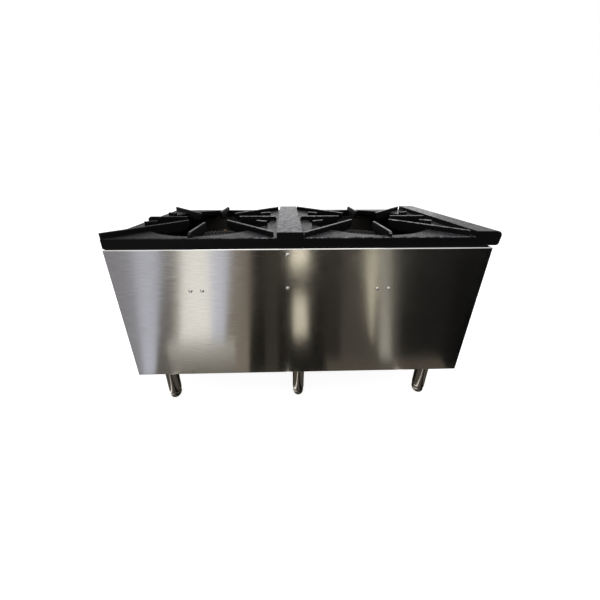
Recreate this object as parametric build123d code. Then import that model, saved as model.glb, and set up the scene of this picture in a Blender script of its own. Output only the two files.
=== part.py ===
from build123d import *
import math
import os

# Two-burner stock pot range, one burner behind the other, standing on six legs.
# Two ribbed cast-iron top sections lie on a folded stainless cabinet. Each covers one
# three-ring burner. Gas comes in at the rear, runs forward to a manifold behind the
# control panel, and four valves feed the inner and the outer rings of the two burners.
#
# Frame: millimetres, +Z up from the floor, the front faces -Y, X = 0 is the middle.

INCH = 25.4

# ---------------------------------------------------------------- cabinet
cabinet_width = 18 * INCH
cabinet_height = 434.8
leg_height = 6 * INCH
front_panel_setback = 48.3  # from the front ledge's inner edge to the front panels' face
rear_panel_setback = 5.2  # from the rear casting's end to the back panel's face
sheet = 1.2
fold_radius = 3.0
rest_flange = 24.0  # side panel's top flange, on which the castings rest
floor_flange = 14.0
corner_flange = 18.0
sheet_gap = 0.3  # between sheets that lie on each other
panel_gap = 2.0  # between one front panel and the next

# ---------------------------------------------------------------- cast top sections
front_grate_length = 468.9  # from the seam forward to the front ledge
rear_grate_length = 464.0  # from the middle ledge to the rear end
section_gap = 1.0  # open seam between the two castings
section_inset = 8.0  # from the cabinet's side face to the casting's
section_height = 44.1
ledge_length = 72.6  # of the middle ledge, which belongs to the rear casting
plate_drop = 15.0  # from the rib tops down to the plate
plate_thickness = 8.0
skirt_thickness = 8.0
skirt_bevel = 2.0
hole_strip = 17.6  # least width of plate left round the hole
plate_lip = 8.0  # thickness of the collar round the hole
straight_rib_radius = 93.0  # from the burner's axis to the tip of a rib along X or Y
corner_rib_radius = 87.0
rib_tip_depth = 11.0
rib_root_depth = 32.0
rib_belly_reach = 33.0  # from a rib's tip back to where its underside turns level
front_rib_gap = 13.0  # between a rib's outer end and the ledge
rear_rib_gap = 9.0
rib_side_inset = 2.2
rib_end_inset = 4.0  # from the open end of the casting to the end of the middle rib
rib_end_slope = 7.0
corner_inset = 0.8
lug_reach = 28.0  # how far a lug stands into the hole
lug_root = 8.5  # how far it runs back over the plate
ledge_web_thickness = 7.0
nose_reach = 23.0  # the front nose beyond the front panels' face
nose_rise = 3.3  # the nose's underside above the skirt's
nose_slope = 3.0  # how far the nose's face runs back on its way down
nose_step = 7.0  # from the front panels' face back to the front skirt
nose_top_radius = 14.0
nose_foot_radius = 8.0
ledge_edge_radius = 3.0

hole_facets = 48
rib_top_width = 7.4
rib_foot_width = 9.6
rib_bevel = 1.4

# ---------------------------------------------------------------- burners
burner_drop = 38.0  # from the cabinet's top down to the burner ports
ring_height = 30.0
outer_ring = (116.0, 94.0)  # outer and inner radius
middle_ring = (74.0, 54.0)
inner_ring = (40.0, 16.0)
ring_teeth = {outer_ring: 60, middle_ring: 32, inner_ring: 16}
ring_facets = {outer_ring: 30, middle_ring: 16, inner_ring: 16}
tooth_height = 5.0
slot_share = 0.6  # part of the pitch that the notch between two teeth takes at its top
arm_width = 16.0
arm_height = 16.0
mixer_spacing = 60.0  # between the two mixer tubes of one burner
mixer_axis_drop = 21.0  # from the rings' underside down to the mixer axis
mixer_radius = 17.0
mouth_radius = 24.0
mouth_wall = 3.0
throat_radius = 14.0
riser_radius = 9.5
foot_size = 16.0
window_inner = 11.0  # from the axis to the near edge of an air window
window_outer = 19.0
window_inner_width = 14.0
window_outer_width = 24.0

# ---------------------------------------------------------------- burner supports and divider
support_width = 60.0
support_depth = 30.0
support_sheet = 2.0
support_wall = 22.0
front_support_shift = 4.1  # from the burner's axis back to the middle of its support
rear_support_shift = -1.55
burner_bolt_drop = 124.0
burner_bolt_spacing = 33.0
divider_y = 31.5  # from the seam back to the divider's front face
divider_height = 150.0
divider_top_flange = 45.0
divider_end_flange = 25.0
divider_bolt_setback = 12.5
divider_bolt_drops = (17.0, 119.0)
bolt_head_radius = 5.4
bolt_head_height = 3.2
hole_clearance = 0.25

# ---------------------------------------------------------------- gas train
manifold_radius = 13.35
manifold_setback = 36.75  # from the front panels' face back to the manifold's axis
manifold_drop = 46.0  # from the valve axis down to the manifold axis
boss_radius = 11.0
boss_height = 18.0  # from the manifold axis to the boss's face
valve_size = 26.0
valve_length = 28.0
neck_radius = 9.0
neck_length = 8.0
hood_radius = 8.0
hood_reach = 20.0  # how far the orifice hood enters the mixer's mouth
hood_tip_radius = 3.0
collar_radius = 11.0
collar_length = 4.0
nipple_radius = 8.0
running_gap = 0.08
disc_gap = 0.3
shutter_thickness = 1.5
shutter_radius = 23.0
rear_valve_x = 110.0
feed_radius = 6.35
feed_bend = 20.0
supply_side_gap = 37.4  # from the side panel to the supply pipe's axis
supply_drop = 83.0  # from the valve axis down to the supply pipe
supply_bend = 12.0
supply_core = 12.9  # facet radius of the pipe behind its round inlet
supply_stub = 22.0  # how far the inlet stands out of the back panel
holder_size = 18.0
holder_plate = 2.0
pilot_valve_x = 75.0
pilot_ring_gap = 9.0  # from the outer ring to the pilot's axis
pilot_tube_radius = 3.2
pilot_axis_drop = 12.0  # from the valve axis down to the pilot tubes
pilot_radius = 4.0
pilot_cap_radius = 6.5

# ---------------------------------------------------------------- knobs
stem_radius = 4.0
stem_flat = 1.2
knob_gap = 3.0  # from the panel to the knob's skirt
knob_height = 30.0
knob_skirt_radius = 26.0
knob_skirt_height = 7.0
knob_waist_radius = 17.0
grip_width = 13.0
grip_length = 44.0
pilot_hole_radius = 4.0

# ---------------------------------------------------------------- front panels and drip tray
control_panel_height = 160.0
tray_front_height = 74.0
panel_flange = 20.0
tray_side_gap = 30.4  # from the side panel to the tray's wall
tray_depth = 40.0
tray_rim = 9.0
tray_rear_gap = 28.0
tray_lip = 14.0
tray_lip_turn = 7.0
runner_sheet = 1.5
runner_gap = 1.5  # above the tray's rim

# ---------------------------------------------------------------- base, legs and feet
frame_sheet = 3.0
cross_width = 96.0
cross_wall = 25.0
rail_height = 30.0
leg_inset_x = 48.8
leg_inset_y = 75.0
leg_radius = 20.65
leg_foot_radius = 20.0
leg_plate_size = 68.0
foot_height = 27.0
foot_reveal = 2.0
foot_radius = 18.5
foot_pad_radius = 10.5
foot_nose_height = 14.0
foot_stud_radius = 8.0
foot_stud_length = 60.0

# ---------------------------------------------------------------- facets of the small round pieces
fine_facets = 18
pipe_facets = 16
small_facets = 12
tiny_facets = 8

# ---------------------------------------------------------------- places worked out from the sizes
half_width = cabinet_width / 2
web_face = half_width - sheet  # inner face of a side panel
front_reach = front_grate_length + front_panel_setback  # from the seam of the two castings
rear_reach = ledge_length + rear_grate_length - rear_panel_setback
supply_x = web_face - supply_side_gap
pilot_x = outer_ring[0] + pilot_ring_gap
tray_width = 2 * (web_face - tray_side_gap)
frontmost = front_reach + knob_gap + knob_height
rearmost = rear_reach + supply_stub
seam_y = (frontmost - rearmost) / 2
front_y = seam_y - front_reach
rear_y = seam_y + rear_reach
bottom_z = leg_height
top_z = bottom_z + cabinet_height

casting_width = cabinet_width - 2 * section_inset
half_casting = casting_width / 2
plate_hole_radius = min(half_casting, front_grate_length / 2, rear_grate_length / 2) - hole_strip
lug_start_radius = plate_hole_radius - lug_reach
lug_end_radius = plate_hole_radius + lug_root
plate_level = section_height - plate_drop
front_burner_y = seam_y - front_grate_length / 2
rear_burner_y = seam_y + ledge_length + rear_grate_length / 2
front_support_y = front_burner_y + front_support_shift
rear_support_y = rear_burner_y + rear_support_shift

port_z = top_z - burner_drop
ring_bottom = port_z - ring_height
mixer_z = ring_bottom - mixer_axis_drop
support_top = mixer_z - mixer_radius - 4.0
mixer_x = mixer_spacing / 2
manifold_y = front_y + manifold_setback
hood_base = collar_length + shutter_thickness + 2 * disc_gap  # from a valve to a mixer's mouth
front_mouth_y = manifold_y + valve_length / 2 + hood_base
mixer_reach = front_burner_y - front_mouth_y  # from the burner's centre to its mixers' mouths
rear_mouth_y = rear_burner_y - mixer_reach
manifold_z = mixer_z - manifold_drop
boss_top = manifold_z + boss_height
supply_z = mixer_z - supply_drop
pilot_z = mixer_z - pilot_axis_drop
divider_face = seam_y + divider_y
divider_back = divider_face + sheet

control_bottom = top_z - control_panel_height
tray_front_top = control_bottom - panel_gap
tray_front_bottom = tray_front_top - tray_front_height
lower_panel_top = tray_front_bottom - panel_gap
tray_floor = tray_front_bottom + 4.0
tray_rim_z = tray_floor + tray_depth

leg_x = half_width - leg_inset_x
panel_middle_y = (front_y + rear_y) / 2
leg_rows = (front_y + leg_inset_y, panel_middle_y, rear_y - leg_inset_y)
leg_names = ("front", "centre", "rear")
leg_foot_z = foot_height + foot_reveal


# ---------------------------------------------------------------- small shape builders
def block(x0, x1, y0, y1, z0, z1):
    """Rectangular block between two opposite corners."""
    middle = Pos((x0 + x1) / 2, (y0 + y1) / 2, (z0 + z1) / 2)
    return middle * Box(abs(x1 - x0), abs(y1 - y0), abs(z1 - z0))


def faceted(profile, sides, start=(0, 0, 0), direction=(0, 0, 1)):
    """Turned solid with flat facets; the profile's points are (radius, distance along the axis)."""
    place = Plane(origin=start, z_dir=direction)
    rows = []
    for radius, along in profile:
        row = []
        for index in range(sides):
            angle = 2 * math.pi * (index + 0.5) / sides
            point = Vector(radius * math.cos(angle), radius * math.sin(angle), along)
            row.append(place.from_local_coords(point))
        rows.append(row)
    outlines = [rows[0], rows[-1]]
    for low, high in zip(rows, rows[1:]):
        for index in range(sides):
            after = (index + 1) % sides
            outlines.append([low[index], low[after], high[after], high[index]])
    faces = [Face(Wire.make_polygon(outline, close=True)) for outline in outlines]
    solid = Solid(Shell(faces))
    return solid if solid.volume > 0 else Solid(-solid.shell())


def rod(radius, start, direction, length, sides=small_facets):
    """Straight bar with flat facets, inside the stated radius."""
    return faceted([(radius, 0), (radius, length)], sides, start, direction)


def bore(radius, start, direction, length, sides=small_facets):
    """Cutter for a hole that keeps clear of a bar of the stated radius."""
    return rod(radius / math.cos(math.pi / sides), start, direction, length, sides)


def folded_sheet(length, web, flange, thickness, closed_ends=False, rounded=False):
    """Sheet channel: web on z = 0, running along X, with its folds standing up."""
    low = (Align.CENTER, Align.CENTER, Align.MIN)
    outer = Box(length, web, flange, align=low)
    inner_length = length - 2 * thickness if closed_ends else length + 2 * thickness
    inner = Pos(0, 0, thickness) * Box(inner_length, web - 2 * thickness, flange, align=low)
    if rounded:
        outer_edges = outer.faces().sort_by(Axis.Z)[0].edges().filter_by(Axis.X)
        inner_edges = inner.faces().sort_by(Axis.Z)[0].edges().filter_by(Axis.X)
        outer = fillet(outer_edges, fold_radius)
        inner = fillet(inner_edges, fold_radius - thickness)
    return outer - inner


def eased(corners, cut):
    """The same run of points with each inner corner cut off."""
    points = [Vector(*corners[0])]
    for before, corner, after in zip(corners, corners[1:], corners[2:]):
        middle = Vector(*corner)
        points.append(middle + (Vector(*before) - middle).normalized() * cut)
        points.append(middle + (Vector(*after) - middle).normalized() * cut)
    points.append(Vector(*corners[-1]))
    return points


def bent_bar(radius, corners, cut, sides=small_facets):
    """Faceted tube or pipe along straight runs, with eased corners."""
    points = eased(corners, cut)
    path = Polyline(*points)
    start = Plane(origin=points[0], z_dir=points[1] - points[0])
    section = start * RegularPolygon(radius, sides)
    return sweep(section, path=path, transition=Transition.RIGHT)


def air_windows(start, depth):
    """Cutters for the two opposite windows of an air mixer, above and below its axis."""
    place = Plane(origin=start, x_dir=(1, 0, 0), z_dir=(0, 1, 0))
    near = window_inner_width / 2
    far = window_outer_width / 2
    corners = [(-near, window_inner), (near, window_inner), (far, window_outer), (-far, window_outer)]
    window = extrude(Polygon(*corners, align=None), amount=depth)
    return [place * window, place * (Rot(0, 0, 180) * window)]


# ---------------------------------------------------------------- cabinet panels
def side_bolt_places():
    """Where bolts go through a side panel, as (y, z)."""
    places = []
    for support_y in (front_support_y, rear_support_y):
        for step in (-0.5, 0.5):
            places.append((support_y + step * burner_bolt_spacing, top_z - burner_bolt_drop))
    for drop in divider_bolt_drops:
        places.append((divider_face + divider_bolt_setback, top_z - drop))
    return places


def side_panel(side):
    """Stainless side: a flat sheet with its four edges folded inwards."""
    length = rear_y - front_y - 2 * (sheet + sheet_gap)
    middle = ((rear_y + front_y) / 2, (top_z + bottom_z) / 2)
    place = Plane(origin=(side * half_width, *middle), x_dir=(0, 1, 0), z_dir=(-side, 0, 0))
    panel = folded_sheet(length, cabinet_height, rest_flange, sheet, closed_ends=True, rounded=True)
    panel = place * panel
    edge = side * (half_width - rest_flange - 1)
    corner = side * (half_width - corner_flange)
    floor_edge = side * (half_width - floor_flange)
    under_top = top_z - sheet - 0.01
    end_zone = fold_radius + 2 * sheet
    panel -= block(edge, corner, front_y, front_y + end_zone, bottom_z - 1, under_top)
    panel -= block(edge, corner, rear_y - end_zone, rear_y, bottom_z - 1, under_top)
    panel -= block(edge, floor_edge, front_y, rear_y, bottom_z - 1, bottom_z + fold_radius)
    return panel


def face_panel(low_z, high_z, face_y, inward, flange_width):
    """Front or back panel: a sheet lapping the side panels, its top and bottom folded in."""
    middle = (0, face_y, (low_z + high_z) / 2)
    place = Plane(origin=middle, x_dir=(1, 0, 0), z_dir=(0, inward, 0))
    length = cabinet_width - 2 * sheet_gap
    panel = place * folded_sheet(length, high_z - low_z, flange_width, sheet, rounded=True)
    notch = half_width - rest_flange - sheet_gap
    notch_start = face_y + inward * sheet
    notch_end = face_y + inward * (flange_width + 1)
    for side in (-1, 1):
        panel -= block(side * notch, side * half_width, notch_start, notch_end, low_z, high_z)
    return panel


def valve_places():
    """X of each valve axis by name; the outer pair feeds the rear burner."""
    return {
        "front_outer": mixer_x,
        "front_inner": -mixer_x,
        "rear_outer": rear_valve_x,
        "rear_inner": -rear_valve_x,
    }


def control_panel():
    """Front panel under the ledge, with holes for the valve stems and pilot screws."""
    panel = face_panel(control_bottom, top_z, front_y, 1, panel_flange)
    for x in valve_places().values():
        panel -= bore(stem_radius + 2, (x, front_y - 1, mixer_z), (0, 1, 0), 5)
    for x in (-pilot_valve_x, pilot_valve_x):
        panel -= bore(pilot_hole_radius, (x, front_y - 1, pilot_z), (0, 1, 0), 5, tiny_facets)
    return panel


def lower_front_panel():
    """Plain removable panel below the drip tray."""
    return face_panel(bottom_z, lower_panel_top, front_y, 1, floor_flange)


def back_panel():
    """Rear sheet with the hole for the gas inlet."""
    panel = face_panel(bottom_z, top_z, rear_y, -1, panel_flange)
    start = (supply_x, rear_y - 5, supply_z)
    return panel - bore(manifold_radius + hole_clearance, start, (0, 1, 0), 10, fine_facets)


def centre_divider():
    """Cross sheet between the two burners; its top flange carries the castings' seam."""
    top_flange_half = half_width - rest_flange - sheet_gap
    under_flange = top_z - fold_radius - sheet_gap
    low = top_z - divider_height
    divider = block(-web_face, web_face, divider_face, divider_back, low, under_flange)
    divider += block(-top_flange_half, top_flange_half, divider_face, divider_back, low, top_z)
    front_edge = divider_back - divider_top_flange
    flange_low = top_z - sheet
    divider += block(-top_flange_half, top_flange_half, front_edge, divider_back, flange_low, top_z)
    fold_end = divider_face + divider_end_flange
    for side in (-1, 1):
        fold_face = side * (web_face - sheet)
        divider += block(fold_face, side * web_face, divider_face, fold_end, low, under_flange)
        window_inner_x = side * (rear_valve_x - feed_radius - 3)
        window_outer_x = side * (pilot_x + pilot_tube_radius + 3)
        window_low = pilot_z - pilot_tube_radius - 3
        window_high = mixer_z + feed_radius + 3
        start = divider_face - 1
        divider -= block(window_inner_x, window_outer_x, start, start + 4, window_low, window_high)
    return divider


def burner_support(middle_y):
    """Inverted channel across the cabinet, fixed to the sides, that carries one burner."""
    place = Plane(origin=(0, middle_y, support_top), x_dir=(1, 0, 0), z_dir=(0, 0, -1))
    bar = place * folded_sheet(2 * web_face, support_width, support_wall, support_sheet)
    low = support_top - support_depth
    half = support_width / 2
    for side in (-1, 1):
        tab_face = side * (web_face - support_sheet)
        bar += block(tab_face, side * web_face, middle_y - half, middle_y + half, low, support_top)
    return bar


def side_bolts():
    """Domed heads of the bolts that hold the supports and the divider to the two sides."""
    dome = [
        (bolt_head_radius, 0),
        (bolt_head_radius * 0.9, bolt_head_height * 0.5),
        (bolt_head_radius * 0.5, bolt_head_height),
    ]
    bolts = []
    for side in (-1, 1):
        for y, z in side_bolt_places():
            place = (side * half_width, y, z)
            bolts.append(faceted(dome, tiny_facets, place, (side, 0, 0)))
    return Compound(children=bolts)


def solid_of(shape):
    """The single solid of a shape."""
    return shape.solids()[0]


# ---------------------------------------------------------------- cast-iron top sections
def half_grate(is_front):
    """From the burner's axis to the ledge, in Y."""
    return (front_grate_length if is_front else rear_grate_length) / 2


def open_end(is_front):
    """From the burner's axis back to the casting's rear end; the front one stops at the seam."""
    return half_grate(is_front) - (section_gap / 2 if is_front else 0)


def ledge_outline(is_front):
    """Side outline of the flat ledge, in Y and Z, with its skirt's foot on z = 0."""
    inner = -half_grate(is_front)
    if not is_front:
        front = inner - ledge_length + section_gap / 2
        corners = [(inner, 0), (inner, section_height), (front, section_height), (front, 0)]
        outline = make_face(Polyline(*[(0, y, z) for y, z in corners], close=True))
        edge = outline.vertices().group_by(Axis.Z)[-1].sort_by(Axis.Y)[0]
        return fillet([edge], ledge_edge_radius)
    panel_face = front_y - front_burner_y
    front = panel_face - nose_reach
    corners = [
        (inner, 0),
        (inner, section_height),
        (front, section_height),
        (front + nose_slope, nose_rise),
        (panel_face + nose_step, nose_rise),
        (panel_face + nose_step, 0),
    ]
    outline = make_face(Polyline(*[(0, y, z) for y, z in corners], close=True))
    fronts = outline.vertices().sort_by(Axis.Y)
    outline = fillet([fronts[0]], nose_top_radius)
    foot = outline.vertices().filter_by(lambda v: abs(v.Z - nose_rise) < 0.01).sort_by(Axis.Y)[0]
    return fillet([foot], nose_foot_radius)


def rib_blank(inner_radius, outer_radius):
    """Upright rib along X: level top, tapered sides, a short tip face and a bellied underside."""
    top = section_height
    foot = top - rib_root_depth
    belly_reach = min(rib_belly_reach, plate_hole_radius - inner_radius)
    belly_rise = rib_root_depth - rib_tip_depth
    side_view = [
        (inner_radius, 0, top),
        (inner_radius, 0, top - rib_tip_depth),
        (inner_radius + 0.13 * belly_reach, 0, foot + 0.45 * belly_rise),
        (inner_radius + 0.45 * belly_reach, 0, foot + 0.12 * belly_rise),
        (inner_radius + belly_reach, 0, foot),
        (outer_radius, 0, foot),
        (outer_radius, 0, top),
    ]
    blank = extrude(make_face(Polyline(*side_view, close=True)), amount=rib_foot_width, both=True)
    half_top = rib_top_width / 2
    half_foot = rib_foot_width / 2
    section = [
        (0, -half_foot, foot),
        (0, -half_top, top - rib_bevel),
        (0, -half_top + rib_bevel, top),
        (0, half_top - rib_bevel, top),
        (0, half_top, top - rib_bevel),
        (0, half_foot, foot),
    ]
    taper = extrude(make_face(Polyline(*section, close=True)), amount=outer_radius + 1, dir=(1, 0, 0))
    return blank & taper


def grate_ribs(is_front):
    """Four straight ribs with sloping ends, four that run into the corners, and four short lugs."""
    half = half_grate(is_front)
    end = open_end(is_front)
    start = -half + (front_rib_gap if is_front else rear_rib_gap)
    side = half_casting - rib_side_inset
    straight_limits = block(-side, side, start, end - rib_end_inset, 0, section_height)
    rim = straight_limits.faces().sort_by(Axis.Z)[-1].edges()
    straight_limits = chamfer(rim, rib_end_slope)
    corner_side = half_casting - corner_inset
    corner_limits = block(-corner_side, corner_side, start, end - corner_inset, 0, section_height)
    corner_angle = math.degrees(math.atan2(half, half_casting))
    straight_rib = rib_blank(straight_rib_radius, half)
    corner_rib = rib_blank(corner_rib_radius, 2 * half)
    lug = rib_blank(lug_start_radius, lug_end_radius)
    ribs = [(Rot(0, 0, angle) * straight_rib) & straight_limits for angle in (0, 90, 180, 270)]
    for angle in (corner_angle, 180 - corner_angle, 180 + corner_angle, -corner_angle):
        ribs.append((Rot(0, 0, angle) * corner_rib) & corner_limits)
    ribs += [Rot(0, 0, angle) * lug for angle in (67.5, 112.5, 247.5, 292.5)]
    return ribs


def top_section(is_front):
    """One iron casting: skirt, plate with a round hole, raised ribs and a flat ledge."""
    rear_end = open_end(is_front)
    inner = -half_grate(is_front)
    frame = block(-half_casting, half_casting, inner - 1, rear_end, 0, plate_level)
    rim = frame.faces().sort_by(Axis.Z)[-1].edges().sort_by(Axis.Y)[1:]
    frame = chamfer(rim, skirt_bevel)
    ledge = extrude(ledge_outline(is_front), amount=half_casting, both=True)
    body = frame + ledge

    inside = half_casting - skirt_thickness
    ceiling = plate_level - plate_thickness
    body -= block(-inside, inside, inner, rear_end - skirt_thickness, -1, ceiling)
    ledge_front = ledge.bounding_box().min.Y + skirt_thickness
    if is_front:
        ledge_front = front_y - front_burner_y + nose_step + skirt_thickness
    ledge_rear = inner - skirt_thickness
    ledge_ceiling = section_height - plate_thickness
    cell = (2 * inside - 2 * ledge_web_thickness) / 3
    for index in range(3):
        start = -inside + index * (cell + ledge_web_thickness)
        body -= block(start, start + cell, ledge_front, ledge_rear, -1, ledge_ceiling)

    lip_bottom = section_height - rib_root_depth
    lip_radius = plate_hole_radius + plate_lip
    lip_height = ceiling - lip_bottom + 1
    body += rod(lip_radius, (0, 0, lip_bottom), (0, 0, 1), lip_height, hole_facets)
    body -= rod(plate_hole_radius, (0, 0, -1), (0, 0, 1), 2 * section_height, hole_facets)
    body += grate_ribs(is_front)
    burner_y = front_burner_y if is_front else rear_burner_y
    return Pos(0, burner_y, top_z) * body


# ---------------------------------------------------------------- three-ring burners
def toothed_ring(radii):
    """Burner ring whose crown is cut by radial gas notches, leaving a row of teeth."""
    outer, inner = radii
    facets = ring_facets[radii]
    count = ring_teeth[radii]
    ring = rod(outer, (0, 0, ring_bottom), (0, 0, 1), ring_height, facets)
    ring -= rod(inner, (0, 0, ring_bottom - 1), (0, 0, 1), ring_height + 2, facets)
    half_slot = math.pi * outer / count * slot_share
    land_z = port_z - tooth_height
    notch = Polyline((inner - 5, -half_slot, port_z), (inner - 5, 0, land_z), (inner - 5, half_slot, port_z), close=True)
    cutter = extrude(make_face(notch), amount=outer - inner + 10, dir=(1, 0, 0))
    first = 180 / count
    slots = [Rot(0, 0, first + index * 360 / count) * cutter for index in range(count)]
    return ring - slots


def mixer_tube(x, end_y):
    """Venturi mixer: a bell mouth with two air windows, a throat and a straight tube."""
    start = (x, -mixer_reach, mixer_z)
    outline = [
        (mouth_radius, 0),
        (mouth_radius, 10),
        (throat_radius, 36),
        (mixer_radius, end_y + mixer_reach),
    ]
    hollow = [
        (mouth_radius - mouth_wall, mouth_wall),
        (mouth_radius - mouth_wall, 10),
        (throat_radius - mouth_wall, 36),
    ]
    tube = faceted(outline, pipe_facets, start, (0, 1, 0))
    tube -= faceted(hollow, pipe_facets, start, (0, 1, 0))
    tube -= air_windows((x, -mixer_reach - 1, mixer_z), mouth_wall + 2)
    return tube - bore(hood_radius + 0.4, (x, -mixer_reach - 1, mixer_z), (0, 1, 0), mouth_wall + 2)


def riser(x, y):
    """Short upright passage from a mixer tube to a ring."""
    return rod(riser_radius, (x, y, mixer_z), (0, 0, 1), ring_bottom - mixer_z + 2, tiny_facets)


def outer_burner():
    """Outer and middle rings on four arms, with their mixer tube and two feet."""
    casting = toothed_ring(outer_ring) + toothed_ring(middle_ring)
    arm_start = middle_ring[0] - 6
    arm_end = outer_ring[1] + 6
    arm_top = ring_bottom + arm_height
    arm = block(arm_start, arm_end, -arm_width / 2, arm_width / 2, ring_bottom, arm_top)
    casting += [Rot(0, 0, angle) * arm for angle in (45, 135, 225, 315)]
    middle_radius = (middle_ring[0] + middle_ring[1]) / 2
    outer_radius = (outer_ring[0] + outer_ring[1]) / 2
    middle_riser_y = -math.sqrt(middle_radius**2 - mixer_x**2)
    outer_riser_y = -math.sqrt(outer_radius**2 - mixer_x**2)
    casting += mixer_tube(mixer_x, middle_riser_y + riser_radius + 2)
    casting += riser(mixer_x, middle_riser_y)
    casting += riser(mixer_x, outer_riser_y)
    half = foot_size / 2
    for side in (-1, 1):
        x = side * middle_radius
        casting += block(x - half, x + half, -half, half, support_top, ring_bottom + 1)
    return casting


def inner_burner():
    """Inner ring on its own mixer tube, with one foot."""
    casting = toothed_ring(inner_ring)
    casting += mixer_tube(-mixer_x, riser_radius + 4)
    casting += riser(-mixer_x, 0)
    half = foot_size / 2
    casting += block(-mixer_x - half, -mixer_x + half, -half, half, support_top, mixer_z)
    return casting


def air_shutter(x, mouth_y):
    """Thin disc with two windows that turns on the orifice hood in front of a mixer."""
    start_y = mouth_y - disc_gap - shutter_thickness
    plate = rod(shutter_radius, (x, start_y, mixer_z), (0, 1, 0), shutter_thickness, fine_facets)
    plate -= air_windows((x, start_y - 1, mixer_z), shutter_thickness + 2)
    return plate - bore(hood_radius + running_gap, (x, start_y - 1, mixer_z), (0, 1, 0), 4)


# ---------------------------------------------------------------- gas train
def orifice_hood(x, mouth_y):
    """Brass collar and hood; the air shutter turns on the hood, which ends in the mixer."""
    start = mouth_y - hood_base
    reach = mouth_y + hood_reach - start
    hood = faceted(
        [(hood_radius, 0), (hood_radius, reach - 8), (hood_tip_radius, reach)],
        small_facets,
        (x, start, mixer_z),
        (0, 1, 0),
    )
    return hood + rod(collar_radius, (x, start, mixer_z), (0, 1, 0), collar_length)


def gas_valve(x, has_hood):
    """Brass valve: stem neck in front, inlet nipple below, outlet behind."""
    half = valve_size / 2
    rear = manifold_y + valve_length / 2
    front = manifold_y - valve_length / 2
    valve = block(x - half, x + half, front, rear, mixer_z - half, mixer_z + half)
    valve += rod(neck_radius, (x, front - neck_length, mixer_z), (0, 1, 0), neck_length + 1)
    valve += rod(nipple_radius, (x, manifold_y, boss_top), (0, 0, 1), mixer_z - boss_top)
    if has_hood:
        valve += orifice_hood(x, front_mouth_y)
    else:
        valve += rod(collar_radius, (x, rear - 1, mixer_z), (0, 1, 0), collar_length * 2)
    stem_hole = bore(stem_radius + running_gap, (x, front - neck_length - 1, mixer_z), (0, 1, 0), neck_length + 7)
    return valve - stem_hole


def gas_valves():
    """The four burner valves in a row on the manifold."""
    valves = []
    for name, x in valve_places().items():
        valve = gas_valve(x, has_hood=name.startswith("front"))
        valves.append(solid_of(valve))
    return Compound(children=valves)


def valve_stem(x):
    """Round stem with a flat, from inside the valve to inside the knob."""
    valve_front = manifold_y - valve_length / 2
    start = front_y - knob_gap - knob_height + 8
    end = valve_front + 5
    stem = rod(stem_radius, (x, start, mixer_z), (0, 1, 0), end - start)
    flat_z = mixer_z + stem_radius - stem_flat
    flat_end = front_y - knob_gap
    return stem - block(x - 5, x + 5, start - 1, flat_end, flat_z, flat_z + 5)


def knob(x):
    """Moulded knob: round skirt, waist and a bar grip."""
    back = front_y - knob_gap
    body = faceted(
        [
            (knob_skirt_radius, 0),
            (knob_skirt_radius, knob_skirt_height - 2),
            (knob_waist_radius, knob_skirt_height + 3),
            (knob_waist_radius - 1, knob_height - 8),
        ],
        fine_facets,
        (x, back, mixer_z),
        (0, -1, 0),
    )
    grip_start = back - knob_skirt_height + 4
    grip_plane = Plane(origin=(x, grip_start, mixer_z), x_dir=(1, 0, 0), z_dir=(0, -1, 0))
    half_grip = grip_width / 2
    half_length = grip_length / 2
    shoulder = half_length - half_grip * 0.7
    corners = [
        (-half_grip, -shoulder),
        (-half_grip * 0.5, -half_length),
        (half_grip * 0.5, -half_length),
        (half_grip, -shoulder),
        (half_grip, shoulder),
        (half_grip * 0.5, half_length),
        (-half_grip * 0.5, half_length),
        (-half_grip, shoulder),
    ]
    grip_height = grip_start - (back - knob_height)
    body += grip_plane * extrude(Polygon(*corners, align=None), amount=grip_height, taper=4)
    hole_start = back - knob_height + 7.5
    hole = bore(stem_radius + running_gap, (x, hole_start, mixer_z), (0, 1, 0), knob_height)
    flat_z = mixer_z + stem_radius + running_gap - stem_flat
    hole -= block(x - 5, x + 5, back - knob_height, back + 5, flat_z, flat_z + 5)
    return body - hole


def gas_manifold():
    """Pipe across the front with a boss under each valve and a flange on the left side."""
    left_end = -web_face
    right_end = supply_x - 40
    start = (left_end, manifold_y, manifold_z)
    pipe = rod(manifold_radius, start, (1, 0, 0), right_end - left_end, pipe_facets)
    for x in valve_places().values():
        pipe += rod(boss_radius, (x, manifold_y, manifold_z), (0, 0, 1), boss_height)
    for x in (-pilot_valve_x, pilot_valve_x):
        pipe += rod(pilot_cap_radius, (x, manifold_y, manifold_z), (0, 0, 1), boss_height, tiny_facets)
    half = 24
    flange_low = manifold_z - half
    flange_high = manifold_z + 18
    pipe += block(left_end, left_end + 3, manifold_y - half, manifold_y + half, flange_low, flange_high)
    return pipe


def supply_pipe():
    """Threaded inlet at the rear, and the pipe that runs forward to the manifold."""
    joint_x = supply_x - 40
    locknut_y = rear_y - sheet - 16
    corners = [
        (supply_x, rear_y + 1, supply_z),
        (supply_x, manifold_y, supply_z),
        (supply_x, manifold_y, manifold_z),
        (joint_x, manifold_y, manifold_z),
    ]
    pipe = bent_bar(supply_core, corners, supply_bend, pipe_facets)
    inlet_plane = Plane(origin=(supply_x, rear_y, supply_z), z_dir=(0, 1, 0))
    low = (Align.CENTER, Align.CENTER, Align.MIN)
    inlet = inlet_plane * Cylinder(manifold_radius, supply_stub, align=low)
    locknut = rod(19, (supply_x, locknut_y, supply_z), (0, 1, 0), 16, 6)
    union = rod(19, (joint_x, manifold_y, manifold_z), (1, 0, 0), 16, 6)
    hollow = rod(10.45, (supply_x, rear_y + supply_stub + 1, supply_z), (0, -1, 0), 31, pipe_facets)
    return pipe + locknut + union + inlet - hollow


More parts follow.
